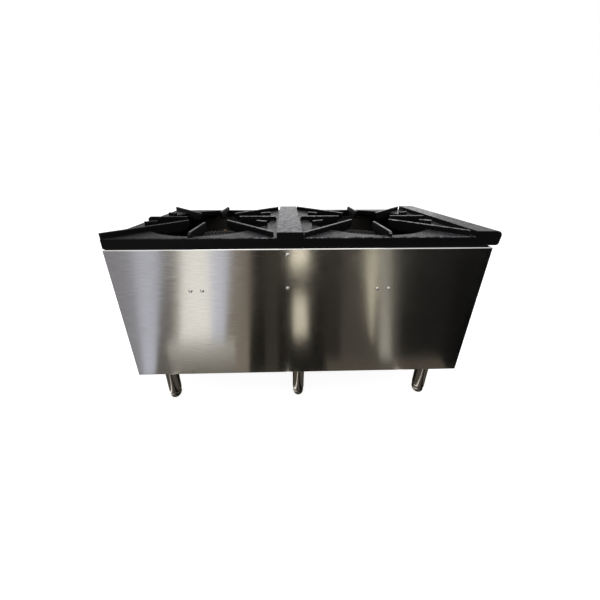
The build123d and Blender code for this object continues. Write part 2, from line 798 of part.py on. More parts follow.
def feed_tube(side):
    """Tube from a rear-burner valve, past the front burner, to the orifice holder."""
    start_y = manifold_y + valve_length / 2 - 1 + 2 * collar_length
    holder_y = rear_mouth_y - hood_base - holder_plate - holder_size / 2
    corners = [
        (side * rear_valve_x, start_y, mixer_z),
        (side * rear_valve_x, holder_y, mixer_z),
        (side * (mixer_x + holder_size / 2), holder_y, mixer_z),
    ]
    return bent_bar(feed_radius, corners, feed_bend * 0.6)


def orifice_holders():
    """Bracket on the divider with two brass blocks and hoods for the rear burner."""
    plate_back = rear_mouth_y - hood_base
    plate_front = plate_back - holder_plate
    top = mixer_z + holder_size / 2 + 3
    half = mixer_x + holder_size
    bracket = block(-half, half, plate_front, plate_back, mixer_z - 14, top + holder_plate)
    bracket += block(-half, half, divider_back, plate_back, top, top + holder_plate)
    side_half = holder_size / 2
    front = plate_front - holder_size
    low = mixer_z - side_half
    high = mixer_z + side_half
    for x in (-mixer_x, mixer_x):
        bracket += block(x - side_half, x + side_half, front, plate_front, low, high)
        bracket += orifice_hood(x, rear_mouth_y)
    return bracket


def pilot_burner(x, burner_y):
    """Standing pilot: a foot on the support, a tube and a cap beside the outer ring."""
    place = (x, burner_y, support_top)
    pilot = block(x - 10, x + 10, burner_y - 10, burner_y + 10, support_top, support_top + 2)
    pilot += rod(pilot_radius, place, (0, 0, 1), port_z - support_top - 4, tiny_facets)
    pilot += rod(pilot_cap_radius, (x, burner_y, port_z - 8), (0, 0, 1), 8, tiny_facets)
    pilot += rod(pilot_cap_radius, (x, burner_y, pilot_z - 6), (0, 0, 1), 12, tiny_facets)
    return pilot


def pilot_tube(side, burner_y):
    """Thin tube from a pilot valve to a pilot burner."""
    start_y = manifold_y + 12
    corners = [
        (side * pilot_valve_x, start_y, pilot_z),
        (side * pilot_valve_x, start_y + 30, pilot_z),
        (side * pilot_x, start_y + 80, pilot_z),
        (side * pilot_x, burner_y - pilot_cap_radius, pilot_z),
    ]
    return bent_bar(pilot_tube_radius, corners, 8, tiny_facets)


def pilot_valves():
    """Two small needle valves on the manifold, each with its adjusting screw in front."""
    valves = []
    for x in (-pilot_valve_x, pilot_valve_x):
        valve = block(x - 7, x + 7, manifold_y - 10, manifold_y + 12, boss_top, pilot_z + 7)
        valve += rod(pilot_radius, (x, manifold_y - 18, pilot_z), (0, 1, 0), 9, tiny_facets)
        valves.append(solid_of(valve))
    return Compound(children=valves)


# ---------------------------------------------------------------- drip tray
def tray_runner(side):
    """Channel on the side panel that holds the drip tray's rim."""
    rim_low = tray_rim_z - sheet
    low = rim_low - runner_sheet
    high = tray_rim_z + runner_gap + runner_sheet
    inner = side * (tray_width / 2 + 2)
    start = front_y + fold_radius + 2 * sheet
    end = rear_y - fold_radius - 2 * sheet
    runner = block(inner, side * web_face, start, end, low, high)
    slot_end = side * (web_face - runner_sheet)
    return runner - block(inner, slot_end, start, end, rim_low, tray_rim_z + runner_gap)


def drip_tray():
    """Long stainless tray with side rims, a front plate and a folded pull."""
    half = tray_width / 2
    end = rear_y - tray_rear_gap
    length = end - front_y
    place = Pos(0, (front_y + end) / 2, tray_floor)
    tray = place * folded_sheet(tray_width, length, tray_depth, sheet, closed_ends=True)
    rim_start = front_y + fold_radius + 2 * sheet
    rim_low = tray_rim_z - sheet
    for side in (-1, 1):
        inner = side * (half - sheet)
        outer = side * (half + tray_rim)
        tray += block(inner, outer, rim_start, end, rim_low, tray_rim_z)
    plate_half = half_width - sheet_gap
    plate_back = front_y + sheet
    tray += block(-plate_half, plate_half, front_y, plate_back, tray_front_bottom, tray_front_top)
    pull_half = plate_half / 2
    lip_y = front_y - tray_lip
    lip_low = tray_front_top - tray_lip_turn
    tray += block(-pull_half, pull_half, lip_y, front_y, tray_front_top - sheet, tray_front_top)
    tray += block(-pull_half, pull_half, lip_y, lip_y + sheet, lip_low, tray_front_top)
    return tray


# ---------------------------------------------------------------- base, legs and feet
def base_frame():
    """Three cross channels over the legs, joined by an angle along each side."""
    place = Pos(0, 0, bottom_z + frame_sheet)
    channel = place * folded_sheet(2 * web_face, cross_width, cross_wall, frame_sheet)
    frame = [Pos(0, y, 0) * channel for y in leg_rows]
    start = leg_rows[0] - cross_width / 2
    end = leg_rows[-1] + cross_width / 2
    rail_x = leg_x + leg_plate_size / 2 + 0.5
    low = bottom_z + sheet
    corner = fold_radius - sheet
    for side in (-1, 1):
        wall = side * (web_face - frame_sheet)
        flat_edge = side * (web_face - corner)
        frame.append(block(wall, side * web_face, start, end, low + corner, low + rail_height))
        frame.append(block(side * rail_x, flat_edge, start, end, low, low + frame_sheet))
    return frame[0] + frame[1:]


def leg_plates():
    """Six square plates under the cross channels, one on top of each leg."""
    half = leg_plate_size / 2
    top = bottom_z + frame_sheet
    plates = []
    for side in (-1, 1):
        for y in leg_rows:
            x = side * leg_x
            plates.append(block(x - half, x + half, y - half, y + half, bottom_z, top))
    return Compound(children=plates)


def leg(x, y):
    """Stainless tube leg with a threaded socket in its foot."""
    height = bottom_z - leg_foot_z
    outline = [(leg_foot_radius, 0), (leg_radius, height)]
    sleeve = faceted(outline, fine_facets, (x, y, leg_foot_z), (0, 0, 1))
    socket_depth = foot_stud_length
    return sleeve - bore(foot_stud_radius + running_gap, (x, y, leg_foot_z - 1), (0, 0, 1), socket_depth + 1)


def legs():
    """The six legs."""
    places = [(side * leg_x, y) for side in (-1, 1) for y in leg_rows]
    return Compound(children=[solid_of(leg(x, y)) for x, y in places])


def levelling_foot(x, y):
    """Bullet foot on a stud that screws into the leg."""
    barrel = [
        (foot_pad_radius, 0),
        (foot_radius - 2.5, foot_nose_height * 0.45),
        (foot_radius, foot_nose_height),
        (foot_radius, foot_height),
    ]
    foot = faceted(barrel, fine_facets, (x, y, 0), (0, 0, 1))
    return foot + rod(foot_stud_radius, (x, y, foot_height - 1), (0, 0, 1), foot_stud_length + 1)


# ---------------------------------------------------------------- the whole range
def build_nodes():
    """Every node of the range by name."""
    nodes = {
        "left_side_panel": side_panel(-1),
        "right_side_panel": side_panel(1),
        "back_panel": back_panel(),
        "control_panel": control_panel(),
        "lower_front_panel": lower_front_panel(),
        "base_frame": base_frame(),
        "centre_divider": centre_divider(),
        "front_burner_support": burner_support(front_support_y),
        "rear_burner_support": burner_support(rear_support_y),
        "left_tray_runner": tray_runner(-1),
        "right_tray_runner": tray_runner(1),
        "drip_tray": drip_tray(),
        "front_top_section": top_section(True),
        "rear_top_section": top_section(False),
        "gas_manifold": gas_manifold(),
        "supply_pipe": supply_pipe(),
        "gas_valves": gas_valves(),
        "rear_orifice_holders": orifice_holders(),
        "rear_outer_feed_tube": feed_tube(1),
        "rear_inner_feed_tube": feed_tube(-1),
        "pilot_valves": pilot_valves(),
        "front_pilot_tube": pilot_tube(-1, front_burner_y),
        "rear_pilot_tube": pilot_tube(1, rear_burner_y),
        "front_pilot": pilot_burner(-pilot_x, front_burner_y),
        "rear_pilot": pilot_burner(pilot_x, rear_burner_y),
        "side_bolts": side_bolts(),
        "leg_plates": leg_plates(),
        "legs": legs(),
    }
    outer = outer_burner()
    inner = inner_burner()
    for row, burner_y in (("front", front_burner_y), ("rear", rear_burner_y)):
        mouth_y = burner_y - mixer_reach
        nodes[f"{row}_outer_burner"] = Pos(0, burner_y, 0) * outer
        nodes[f"{row}_inner_burner"] = Pos(0, burner_y, 0) * inner
        nodes[f"{row}_outer_shutter"] = air_shutter(mixer_x, mouth_y)
        nodes[f"{row}_inner_shutter"] = air_shutter(-mixer_x, mouth_y)
    for name, x in valve_places().items():
        nodes[f"{name}_stem"] = valve_stem(x)
        nodes[f"{name}_knob"] = knob(x)
    for side, side_name in ((-1, "left"), (1, "right")):
        for row, y in zip(leg_names, leg_rows):
            nodes[f"{row}_{side_name}_foot"] = levelling_foot(side * leg_x, y)
    return nodes


os.makedirs("parts", exist_ok=True)
for node_name, shape in build_nodes().items():
    export_step(shape, f"parts/{node_name}.step")
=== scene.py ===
import math

import bmesh
import bpy
from mathutils import Matrix, Vector


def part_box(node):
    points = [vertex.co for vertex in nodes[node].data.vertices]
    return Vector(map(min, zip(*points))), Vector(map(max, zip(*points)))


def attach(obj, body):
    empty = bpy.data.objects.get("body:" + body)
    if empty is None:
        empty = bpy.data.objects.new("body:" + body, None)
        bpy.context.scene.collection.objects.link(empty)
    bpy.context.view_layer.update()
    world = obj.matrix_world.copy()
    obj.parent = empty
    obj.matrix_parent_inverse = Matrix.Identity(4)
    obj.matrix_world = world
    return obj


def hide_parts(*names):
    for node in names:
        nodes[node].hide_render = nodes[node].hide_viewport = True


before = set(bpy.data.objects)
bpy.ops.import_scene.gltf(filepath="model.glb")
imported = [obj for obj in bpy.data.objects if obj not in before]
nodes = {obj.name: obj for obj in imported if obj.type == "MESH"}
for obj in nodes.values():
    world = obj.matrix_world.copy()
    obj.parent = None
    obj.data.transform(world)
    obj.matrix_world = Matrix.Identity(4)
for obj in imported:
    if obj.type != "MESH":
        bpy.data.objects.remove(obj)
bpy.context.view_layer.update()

# ---------------------------------------------------------------- cabinet sheets
# The four sides of the cabinet and the front of the drip tray are stainless sheet, 1.2 mm
# thick, sheared, notched and folded on a press brake. The sheet comes from the mill with
# its brushing along its length, so the lines run level all round the cabinet.


def linear(code):
    """Linear colour, with alpha, from an sRGB hex value."""
    parts = [int(code[i : i + 2], 16) / 255 for i in (1, 3, 5)]
    return [p / 12.92 if p <= 0.04045 else ((p + 0.055) / 1.055) ** 2.4 for p in parts] + [1]


def feed(node, settings={}, links={}):
    """Sets a node's properties and inputs, and links its inputs to sockets of other nodes.
    A node given as a source stands for its first output in use."""
    for name, value in settings.items():
        if isinstance(name, str) and hasattr(node, name):
            setattr(node, name, value)
        else:
            node.inputs[name].default_value = value
    for name, source in links.items():
        if isinstance(source, bpy.types.Node):
            source = next(socket for socket in source.outputs if socket.enabled)
        node.id_data.links.new(source, node.inputs[name])


def add(tree, kind, settings={}, links={}):
    """Adds a node with its settings and links."""
    node = tree.nodes.new(kind)
    feed(node, settings, links)
    return node


def surface(name):
    """A new material: returns it, its node tree and its main shader."""
    material = bpy.data.materials.new(name)
    material.use_nodes = True
    return material, material.node_tree, material.node_tree.nodes["Principled BSDF"]


def dress(material, *names):
    """Gives CAD nodes their finish."""
    for name in names:
        for spot in nodes[name].material_slots:
            spot.material = material


# The two colour inputs of a node that mixes colours.
colour_a, colour_b = 6, 7

# Brushed stainless steel, type 304, number 4 finish: a pale, slightly warm metal. Belt
# scratches 0.1 mm apart draw each reflection out into a tall soft band across the lines.
# They are too fine to show, so the lines are drawn about 2 mm apart and 38 mm long.
line_gap, line_length, cloud_size = 1.923, 38.46, 142.9  # millimetres
brushed_stainless, tree, shader = surface("brushed_stainless")
place = add(tree, "ShaderNodeTexCoord").outputs["Object"]
axes = add(tree, "ShaderNodeSeparateXYZ", {}, {0: place})
along = add(
    tree, "ShaderNodeMath", {"operation": "ADD"}, {0: axes.outputs["X"], 1: axes.outputs["Y"]}
)
level = add(tree, "ShaderNodeCombineXYZ", {}, {"X": along, "Z": axes.outputs["Z"]})
line_scale = (1000 / line_length, 1, 1000 / line_gap)
line_place = add(
    tree, "ShaderNodeVectorMath", {"operation": "MULTIPLY", 1: line_scale}, {0: level}
)
grain = add(
    tree,
    "ShaderNodeTexNoise",
    {"Scale": 1, "Detail": 4, "Roughness": 0.6},
    {"Vector": line_place},
)
cloud = add(
    tree, "ShaderNodeTexNoise", {"Scale": 1000 / cloud_size, "Detail": 3}, {"Vector": place}
)
steel_tone = add(
    tree,
    "ShaderNodeMix",
    {"data_type": "RGBA", colour_a: linear("#b2b0ab"), colour_b: linear("#dbd9d4")},
    {"Factor": grain},
)
line_rough = add(
    tree,
    "ShaderNodeMapRange",
    {"From Min": 0.3, "From Max": 0.7, "To Min": 0.15, "To Max": 0.21},
    {"Value": grain},
)
cloud_rough = add(
    tree,
    "ShaderNodeMapRange",
    {"From Min": 0.35, "From Max": 0.65, "To Min": -0.012, "To Max": 0.012},
    {"Value": cloud},
)
steel_rough = add(
    tree, "ShaderNodeMath", {"operation": "ADD"}, {0: line_rough, 1: cloud_rough}
)

# Inside the cabinet the sheet is as it came from the mill and rougher, and its colour there
# is darkened as painted shade. The space inside, as its middle and half its size along each
# axis, in metres:
cavity = {"X": (0, 0.2281), "Y": (0.0055, 0.5237), "Z": (0.3698, 0.2160)}
inside = None
for axis, (middle, half_size) in cavity.items():
    between = add(
        tree,
        "ShaderNodeMath",
        {"operation": "COMPARE", 1: middle, 2: half_size},
        {0: axes.outputs[axis]},
    )
    if inside:
        between = add(tree, "ShaderNodeMath", {"operation": "MULTIPLY"}, {0: inside, 1: between})
    inside = between
# Painted shade: a dark colour for the sheet inside the cabinet.
inside_shade_tone = add(
    tree,
    "ShaderNodeMix",
    {"data_type": "RGBA", colour_a: linear("#2e2c2a"), colour_b: linear("#5b5852")},
    {"Factor": cloud},
)
whole_tone = add(
    tree,
    "ShaderNodeMix",
    {"data_type": "RGBA"},
    {"Factor": inside, colour_a: steel_tone, colour_b: inside_shade_tone},
)
whole_rough = add(
    tree, "ShaderNodeMath", {"operation": "MULTIPLY_ADD", 1: 0.3}, {0: inside, 2: steel_rough}
)

# The top folds are made a little smoother and their colour paler: a painted highlight.
fold_middle, fold_half = 0.5872, 0.0032  # metres above the floor
fold = add(
    tree,
    "ShaderNodeMath",
    {"operation": "COMPARE", 1: fold_middle, 2: fold_half},
    {0: axes.outputs["Z"]},
)
bright = add(
    tree, "ShaderNodeMath", {"operation": "SUBTRACT", "use_clamp": True}, {0: fold, 1: inside}
)
# Painted highlight: a paler colour mixed in along the top folds.
fold_highlight_tone = add(
    tree,
    "ShaderNodeMix",
    {"data_type": "RGBA", colour_b: linear("#e2e1dd")},
    {"Factor": bright, colour_a: whole_tone},
)
folded_rough = add(
    tree, "ShaderNodeMath", {"operation": "MULTIPLY_ADD", 1: -0.08}, {0: bright, 2: whole_rough}
)
scratches = add(tree, "ShaderNodeBump", {"Strength": 0.12, "Distance": 0.0003}, {"Height": grain})
# The lines run level round the range, so the shine is drawn out a quarter turn from them.
brushing = add(tree, "ShaderNodeTangent", {"direction_type": "RADIAL", "axis": "Z"})
feed(
    shader,
    {"Metallic": 1, "Anisotropic": 0.6, "Anisotropic Rotation": 0.25},
    {
        "Base Color": fold_highlight_tone,
        "Roughness": folded_rough,
        "Normal": scratches,
        "Tangent": brushing,
    },
)
dress(
    brushed_stainless,
    "left_side_panel",
    "right_side_panel",
    "back_panel",
    "control_panel",
    "lower_front_panel",
    "drip_tray",
)

# ---------------------------------------------------------------- base, supports and runners
# Inside the cabinet the cross channels over the legs, the burner supports, the divider and
# the tray runners are galvanised sheet, folded and spot welded.


def vary(shader, pattern, tones, roughness, settings={}):
    """Lets a pattern carry a finish from one tone and roughness to another."""
    tree = shader.id_data
    tone = add(
        tree,
        "ShaderNodeMix",
        {"data_type": "RGBA", colour_a: linear(tones[0]), colour_b: linear(tones[1])},
        {"Factor": pattern},
    )
    rough = add(
        tree,
        "ShaderNodeMapRange",
        {"To Min": roughness[0], "To Max": roughness[1]},
        {"Value": pattern},
    )
    feed(shader, settings, {"Base Color": tone, "Roughness": rough})


# Galvanised steel: dull blue-grey zinc with crystals 5 to 12 mm across, each a little
# lighter or darker than the next.
crystal_size = 9.091  # millimetres
galvanised, tree, shader = surface("galvanised_steel")
place = add(tree, "ShaderNodeTexCoord").outputs["Object"]
spangle = add(tree, "ShaderNodeTexVoronoi", {"Scale": 1000 / crystal_size}, {"Vector": place})
spangle_grey = add(tree, "ShaderNodeRGBToBW", {}, {0: spangle.outputs["Color"]})
vary(shader, spangle_grey, ("#565a5d", "#7c8083"), (0.38, 0.55), {"Metallic": 1})
dress(
    galvanised,
    "base_frame",
    "leg_plates",
    "centre_divider",
    "front_burner_support",
    "rear_burner_support",
    "left_tray_runner",
    "right_tray_runner",
)

# ---------------------------------------------------------------- legs
# Six legs of polished stainless tube, 41 mm across, a little narrower at the foot, with
# the lower edge spun in. Each is welded to a square plate bolted under the cabinet.


def skin(shape, rows):
    """Faces between each ring of points and the next. A ring of one point is a tip."""
    for low, high in zip(rows, rows[1:]):
        count = max(len(low), len(high))
        for step in range(count):
            after = (step + 1) % count
            corners = [low[step % len(low)], low[after % len(low)]]
            corners += [high[after % len(high)], high[step % len(high)]]
            shape.faces.new(list(dict.fromkeys(corners)))


def turned(profile, middle=(0, 0, 0), axis=(0, 0, 1), sides=64):
    """A turned shape in millimetres from (radius, distance along the axis) points."""
    shape = bmesh.new()
    turn = Vector((0, 0, 1)).rotation_difference(Vector(axis)).to_matrix()
    rows = []
    for radius, height in profile:
        row = []
        for step in range(sides if radius > 0 else 1):
            angle = 2 * math.pi * step / sides
            point = Vector((radius * math.cos(angle), radius * math.sin(angle), height))
            row.append(shape.verts.new(turn @ point + Vector(middle)))
        rows.append(row)
    skin(shape, rows)
    return shape


def joined(shapes):
    """Several shapes as one."""
    whole = bmesh.new()
    for shape in shapes:
        part = bpy.data.meshes.new("part")
        shape.to_mesh(part)
        shape.free()
        whole.from_mesh(part)
        bpy.data.meshes.remove(part)
    return whole


def piece(name, shape, material, body, stands_for=()):
    """Adds a shape in millimetres to the range as a piece in metres."""
    sharp_from = math.radians(35)
    bmesh.ops.scale(shape, vec=(0.001, 0.001, 0.001), verts=shape.verts)
    bmesh.ops.recalc_face_normals(shape, faces=shape.faces)
    mesh = bpy.data.meshes.new(name)
    shape.to_mesh(mesh)
    shape.free()
    mesh.polygons.foreach_set("use_smooth", [True] * len(mesh.polygons))
    mesh.set_sharp_from_angle(angle=sharp_from)
    mesh.materials.append(material)
    made = bpy.data.objects.new(name, mesh)
    bpy.context.scene.collection.objects.link(made)
    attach(made, body)
    if stands_for:
        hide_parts(*stands_for)


# Polished stainless tube: the same steel, rubbed lengthways until single lights show in it
# as long upright streaks. The rubbing is drawn in streaks 4 mm wide, coarser than it is.
streak_width, streak_length = 4.167, 111.1  # millimetres
polished_stainless, tree, shader = surface("polished_stainless")
place = add(tree, "ShaderNodeTexCoord").outputs["Object"]
rub_scale = (1000 / streak_width, 1000 / streak_width, 1000 / streak_length)
rub_place = add(tree, "ShaderNodeVectorMath", {"operation": "MULTIPLY", 1: rub_scale}, {0: place})
rub = add(tree, "ShaderNodeTexNoise", {"Scale": 1, "Detail": 3}, {"Vector": rub_place})
vary(shader, rub, ("#7b7774", "#bbb8b4"), (0.13, 0.26), {"Metallic": 1})

# Each leg stands over its foot. Here is the middle of each foot, in millimetres.
leg_places = {}
for side in ("left", "right"):
    for row in ("front", "centre", "rear"):
        low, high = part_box(f"{row}_{side}_foot")
        leg_places[f"{row}_{side}"] = ((low.x + high.x) * 500, (low.y + high.y) * 500)

# From the top, down the outside, round the spun edge and up the bore.
sleeve = [
    (0, 152.4), (20.65, 152.4), (20.05, 35), (19.95, 32.6), (19.6, 30.8), (19.0, 29.6),
    (18.1, 29.05), (17.0, 29.0), (9.4, 29.0), (8.4, 30.0), (8.4, 89), (0, 89),
]
legs = [turned(sleeve, (x, y, 0)) for x, y in leg_places.values()]
piece("leg_sleeves", joined(legs), polished_stainless, "body", ["legs"])

# ---------------------------------------------------------------- levelling feet
# A stainless bullet foot, 37 mm across, turned and polished, is fixed on a 16 mm threaded
# stud that screws into the leg. Its nose stands on the floor.
bullet = [
    (0, 0), (8.6, 0), (10.2, 0.4), (11.6, 1.4), (13.6, 3.5), (15.6, 6.2), (17.2, 9.3),
    (18.1, 12), (18.5, 15), (18.5, 26.2), (18.1, 26.8), (17.5, 27.0), (0, 27.0),
]
stud = [(7.2, 26.5), (7.2, 86), (6.6, 87), (0, 87)]
stud_root, stud_crest, stud_pitch = 6.9, 7.95, 2
thread_foot, thread_end = 27, 86


def thread(root, crest, pitch, low, high, middle, sides=32):
    """A screw thread round Z between two heights, in millimetres."""
    shape = bmesh.new()
    rows = []
    for half_turn in range(int(2 * (high - low) / pitch) + 3):
        radius = crest if half_turn % 2 else root
        row = []
        for step in range(sides + 1):
            angle = 2 * math.pi * step / sides
            height = low + pitch * (half_turn / 2 - 1 + step / sides)
            x = middle[0] + radius * math.cos(angle)
            y = middle[1] + radius * math.sin(angle)
            row.append(shape.verts.new((x, y, min(max(height, low), high))))
        rows.append(row)
    for lower, upper in zip(rows, rows[1:]):
        for step in range(sides):
            shape.faces.new((lower[step], lower[step + 1], upper[step + 1], upper[step]))
    bmesh.ops.remove_doubles(shape, verts=shape.verts, dist=0.001)
    return shape


for name, (x, y) in leg_places.items():
    screw = thread(stud_root, stud_crest, stud_pitch, thread_foot, thread_end, (x, y))
    whole = joined([turned(bullet, (x, y, 0)), turned(stud, (x, y, 0), sides=32), screw])
    foot = f"{name}_foot"
    piece(f"{name}_bullet_foot", whole, polished_stainless, foot, [foot])

# ---------------------------------------------------------------- side bolts
# Low domed heads of steel bolts, 11 mm across, cold formed. On each side four hold the
# burner supports and two the divider, pulled up against the sheet.

# Bright zinc plate: pale, smooth metal with faint pits, so each head is a small sharp
# light. The pits are drawn 1 mm apart, coarser than they are.
pit_gap = 1.111  # millimetres
bolt_steel, tree, shader = surface("zinc_plated_bolt")
place = add(tree, "ShaderNodeTexCoord").outputs["Object"]
pits = add(tree, "ShaderNodeTexNoise", {"Scale": 1000 / pit_gap, "Detail": 3}, {"Vector": place})
vary(shader, pits, ("#c4c4c2", "#ececea"), (0.12, 0.26), {"Metallic": 1})

half_width = 228.6
support_bolts = [(y, 463.2) for y in (-248.45, -215.45, 284.95, 317.95)]
divider_bolts = [(42.4, 570.2), (42.4, 468.2)]
dome = [
    (5.4, 0.0), (5.4, 0.5), (5.2, 1.1), (4.6, 1.9), (3.6, 2.6), (2.3, 3.0), (1.1, 3.17), (0, 3.2),
]
heads = [
    turned(dome, (side * half_width, y, z), (side, 0, 0), 40)
    for side in (-1, 1)
    for y, z in support_bolts + divider_bolts
]
piece("bolt_heads", joined(heads), bolt_steel, "body", ["side_bolts"])

# ---------------------------------------------------------------- gas train
# Black iron pipe brings the gas in at the rear and feeds a manifold across the front. Brass
# valves sit on the manifold, and soft aluminium tubes run on to the rear burner and pilots.

# Black iron pipe: mill scale and oil, dark brown-grey with a dull sheen. The flakes of
# scale are about 6 mm across.
flake_size = 6.25  # millimetres
black_pipe, tree, shader = surface("black_iron_pipe")
place = add(tree, "ShaderNodeTexCoord").outputs["Object"]
scale = add(
    tree, "ShaderNodeTexNoise", {"Scale": 1000 / flake_size, "Detail": 5}, {"Vector": place}
)
vary(shader, scale, ("#1c1b1a", "#3a3735"), (0.4, 0.62), {"Metallic": 0.6})
flakes = add(tree, "ShaderNodeBump", {"Strength": 0.2, "Distance": 0.0005}, {"Height": scale})
feed(shader, {}, {"Normal": flakes})


def bar(x0, x1, y0, y1, z0, z1, rounding=1.0):
    """A rectangular bar in millimetres with rounded edges."""
    shape = bmesh.new()
    bmesh.ops.create_cube(shape, size=1)
    bmesh.ops.scale(shape, vec=(x1 - x0, y1 - y0, z1 - z0), verts=shape.verts)
    middle = ((x0 + x1) / 2, (y0 + y1) / 2, (z0 + z1) / 2)
    bmesh.ops.translate(shape, vec=middle, verts=shape.verts)
    bmesh.ops.bevel(
        shape, geom=shape.edges[:], offset=rounding, segments=2, affect="EDGES", profile=0.5
    )
    return shape


def bent_tube(radius, corners, bend, sides=28):
    """A round tube in millimetres along straight runs, bent at the corners between them."""
    bend_steps = 8
    points = [Vector(corners[0])]
    for before, corner, after in zip(corners, corners[1:], corners[2:]):
        middle = Vector(corner)
        back = (Vector(before) - middle).normalized() * bend
        on = (Vector(after) - middle).normalized() * bend
        for step in range(bend_steps + 1):
            share = step / bend_steps
            points.append(middle + back * (1 - share) ** 2 + on * share**2)
    points.append(Vector(corners[-1]))
    runs = [(b - a).normalized() for a, b in zip(points, points[1:])]
    turns = [2 * math.pi * step / sides for step in range(sides)]
    shape = bmesh.new()
    across = runs[0].orthogonal().normalized()
    rows = []
    for index, point in enumerate(points):
        ahead = (runs[max(index - 1, 0)] + runs[min(index, len(runs) - 1)]).normalized()
        across = (across - ahead * across.dot(ahead)).normalized()
        up = ahead.cross(across)
        ring = [point + radius * (across * math.cos(t) + up * math.sin(t)) for t in turns]
        rows.append([shape.verts.new(spot) for spot in ring])
    skin(shape, rows)
    shape.faces.new(list(reversed(rows[0])))
    shape.faces.new(rows[-1])
    return shape


# Heights and places that the gas train and the burners share, in millimetres.
mixer_z, support_top, pilot_z = 498.2, 477.2, 486.2
burner_places = {"front": -236.05, "rear": 303.0}
manifold_y, manifold_z, boss_top = -482.05, 452.2, 470.2
manifold_start, manifold_end = -227.4, 150
valve_places = (-110, -30, 30, 110)
pilot_tap = 75

manifold_length = manifold_end - manifold_start
pipe = [(0, 0), (13.35, 0), (13.35, manifold_length), (0, manifold_length)]
valve_boss = [(0, 0), (11, 0), (11, 17), (10, 18), (0, 18)]
pilot_boss = [(0, 0), (6.5, 0), (6.5, 17.2), (5.7, 18), (0, 18)]
manifold = [
    turned(pipe, (manifold_start, manifold_y, manifold_z), (1, 0, 0), 48),
    # The bracket that holds its end to the left side.
    bar(
        manifold_start, manifold_start + 3, manifold_y - 24, manifold_y + 24,
        manifold_z - 24, manifold_z + 18,
    ),
]
for x in valve_places:
    manifold.append(turned(valve_boss, (x, manifold_y, manifold_z)))
for x in (-pilot_tap, pilot_tap):
    manifold.append(turned(pilot_boss, (x, manifold_y, manifold_z), sides=32))
piece("manifold_pipe", joined(manifold), black_pipe, "body", ["gas_manifold"])

# The supply pipe starts at a nut behind the back panel's inlet and runs forward, up and
# along to the manifold's end. The inlet outside has a 3/4 in pipe thread.
supply_x, supply_z, back_face, coupling_y = 190.0, 415.2, 529.8, 512.6
supply_run = [
    (supply_x, coupling_y, supply_z),
    (supply_x, manifold_y, supply_z),
    (supply_x, manifold_y, manifold_z),
    (manifold_end, manifold_y, manifold_z),
]
nut = [(0, 0), (17, 0), (19, 1.2), (19, 14.8), (17, 16), (0, 16)]
bore_end = [(0, -10.2), (10.45, -10.2), (12.5, -9), (0, -9)]
inlet = [(10.45, -9), (10.45, 22), (12.1, 22), (12.5, 21.4), (12.5, -9), (10.45, -9)]
inlet_middle = (supply_x, back_face, supply_z)
inlet_root, inlet_crest, inlet_pitch = 12.3, 13.3, 1.81
inlet_thread = thread(inlet_root, inlet_crest, inlet_pitch, 0.5, 21, (0, 0), 48)
lie_back = Matrix.Rotation(-math.pi / 2, 3, "X")
bmesh.ops.rotate(inlet_thread, matrix=lie_back, verts=inlet_thread.verts)
bmesh.ops.translate(inlet_thread, vec=inlet_middle, verts=inlet_thread.verts)
supply = [
    bent_tube(12.9, supply_run, 24),
    turned(nut, supply_run[0], (0, 1, 0), 6),
    turned(nut, supply_run[-1], (1, 0, 0), 6),
    turned(bore_end, inlet_middle, (0, 1, 0)),
    turned(inlet, inlet_middle, (0, 1, 0)),
    inlet_thread,
]
piece("supply_pipe_run", joined(supply), black_pipe, "body", ["supply_pipe"])

# Machined brass: warm yellow, with tarnish in patches about 11 mm across.
tarnish_size = 11.11  # millimetres
brass, tree, shader = surface("machined_brass")
place = add(tree, "ShaderNodeTexCoord").outputs["Object"]
tarnish = add(
    tree, "ShaderNodeTexNoise", {"Scale": 1000 / tarnish_size, "Detail": 4}, {"Vector": place}
)
vary(shader, tarnish, ("#5c4a2a", "#937844"), (0.48, 0.32), {"Metallic": 1})
dress(brass, "rear_orifice_holders", "pilot_valves")
dress(brass, "front_outer_stem", "front_inner_stem", "rear_outer_stem", "rear_inner_stem")

# The two middle valves end in orifice hoods that jet into the front burner. The outer two
# feed the tubes to the rear burner.
hood = [
    (0, 0), (11, 0), (11, 4), (8, 4), (8, 17.6), (7.6, 18.6), (3.4, 25.8), (3, 26.1), (1, 26.1),
    (1, 25.4), (0, 25.4),
]
tube_union = [(0, 0), (11, 0), (11, 6), (10, 7), (0, 7)]
neck = [(0, 0), (9, 0), (9, 6.4), (8.2, 7.8), (4.2, 8), (4.2, 2), (0, 2)]
shank = [(0, 0), (8, 0), (8, 17), (0, 17)]
front_y, rear_y = manifold_y - 14, manifold_y + 14
low, high = mixer_z - 13, mixer_z + 13
valves = []
for x in valve_places:
    valves.append(bar(x - 13, x + 13, front_y, rear_y, low, high, 2.5))
    valves.append(turned(neck, (x, front_y, mixer_z), (0, -1, 0), 40))
    valves.append(turned(shank, (x, manifold_y, boss_top), sides=40))
    outlet = hood if x in valve_places[1:3] else tube_union
    valves.append(turned(outlet, (x, rear_y, mixer_z), (0, 1, 0), 40))
piece("burner_valves", joined(valves), brass, "body", ["gas_valves"])

# Each pilot stands on its burner's support, on the side where its CAD node is.
pilot_x = {}
pilot_tip = [
    (0, 0), (4, 0), (4, 62), (5.6, 64), (6.5, 65.2), (6.5, 71), (5.4, 72), (1.5, 72), (1.5, 70),
    (0, 70),
]
pilot_nut = [(0, 0), (5.8, 0), (6.5, 0.8), (6.5, 11.2), (5.8, 12), (0, 12)]
for name, y in burner_places.items():
    low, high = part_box(f"{name}_pilot")
    x = pilot_x[name] = math.copysign(125.0, low.x + high.x)
    pilot = [
        bar(x - 10, x + 10, y - 10, y + 10, support_top, support_top + 2, 0.4),
        turned(pilot_tip, (x, y, support_top), sides=32),
        turned(pilot_nut, (x, y, pilot_z - 6), sides=32),
    ]
    piece(f"{name}_pilot_burner", joined(pilot), brass, "body", [f"{name}_pilot"])

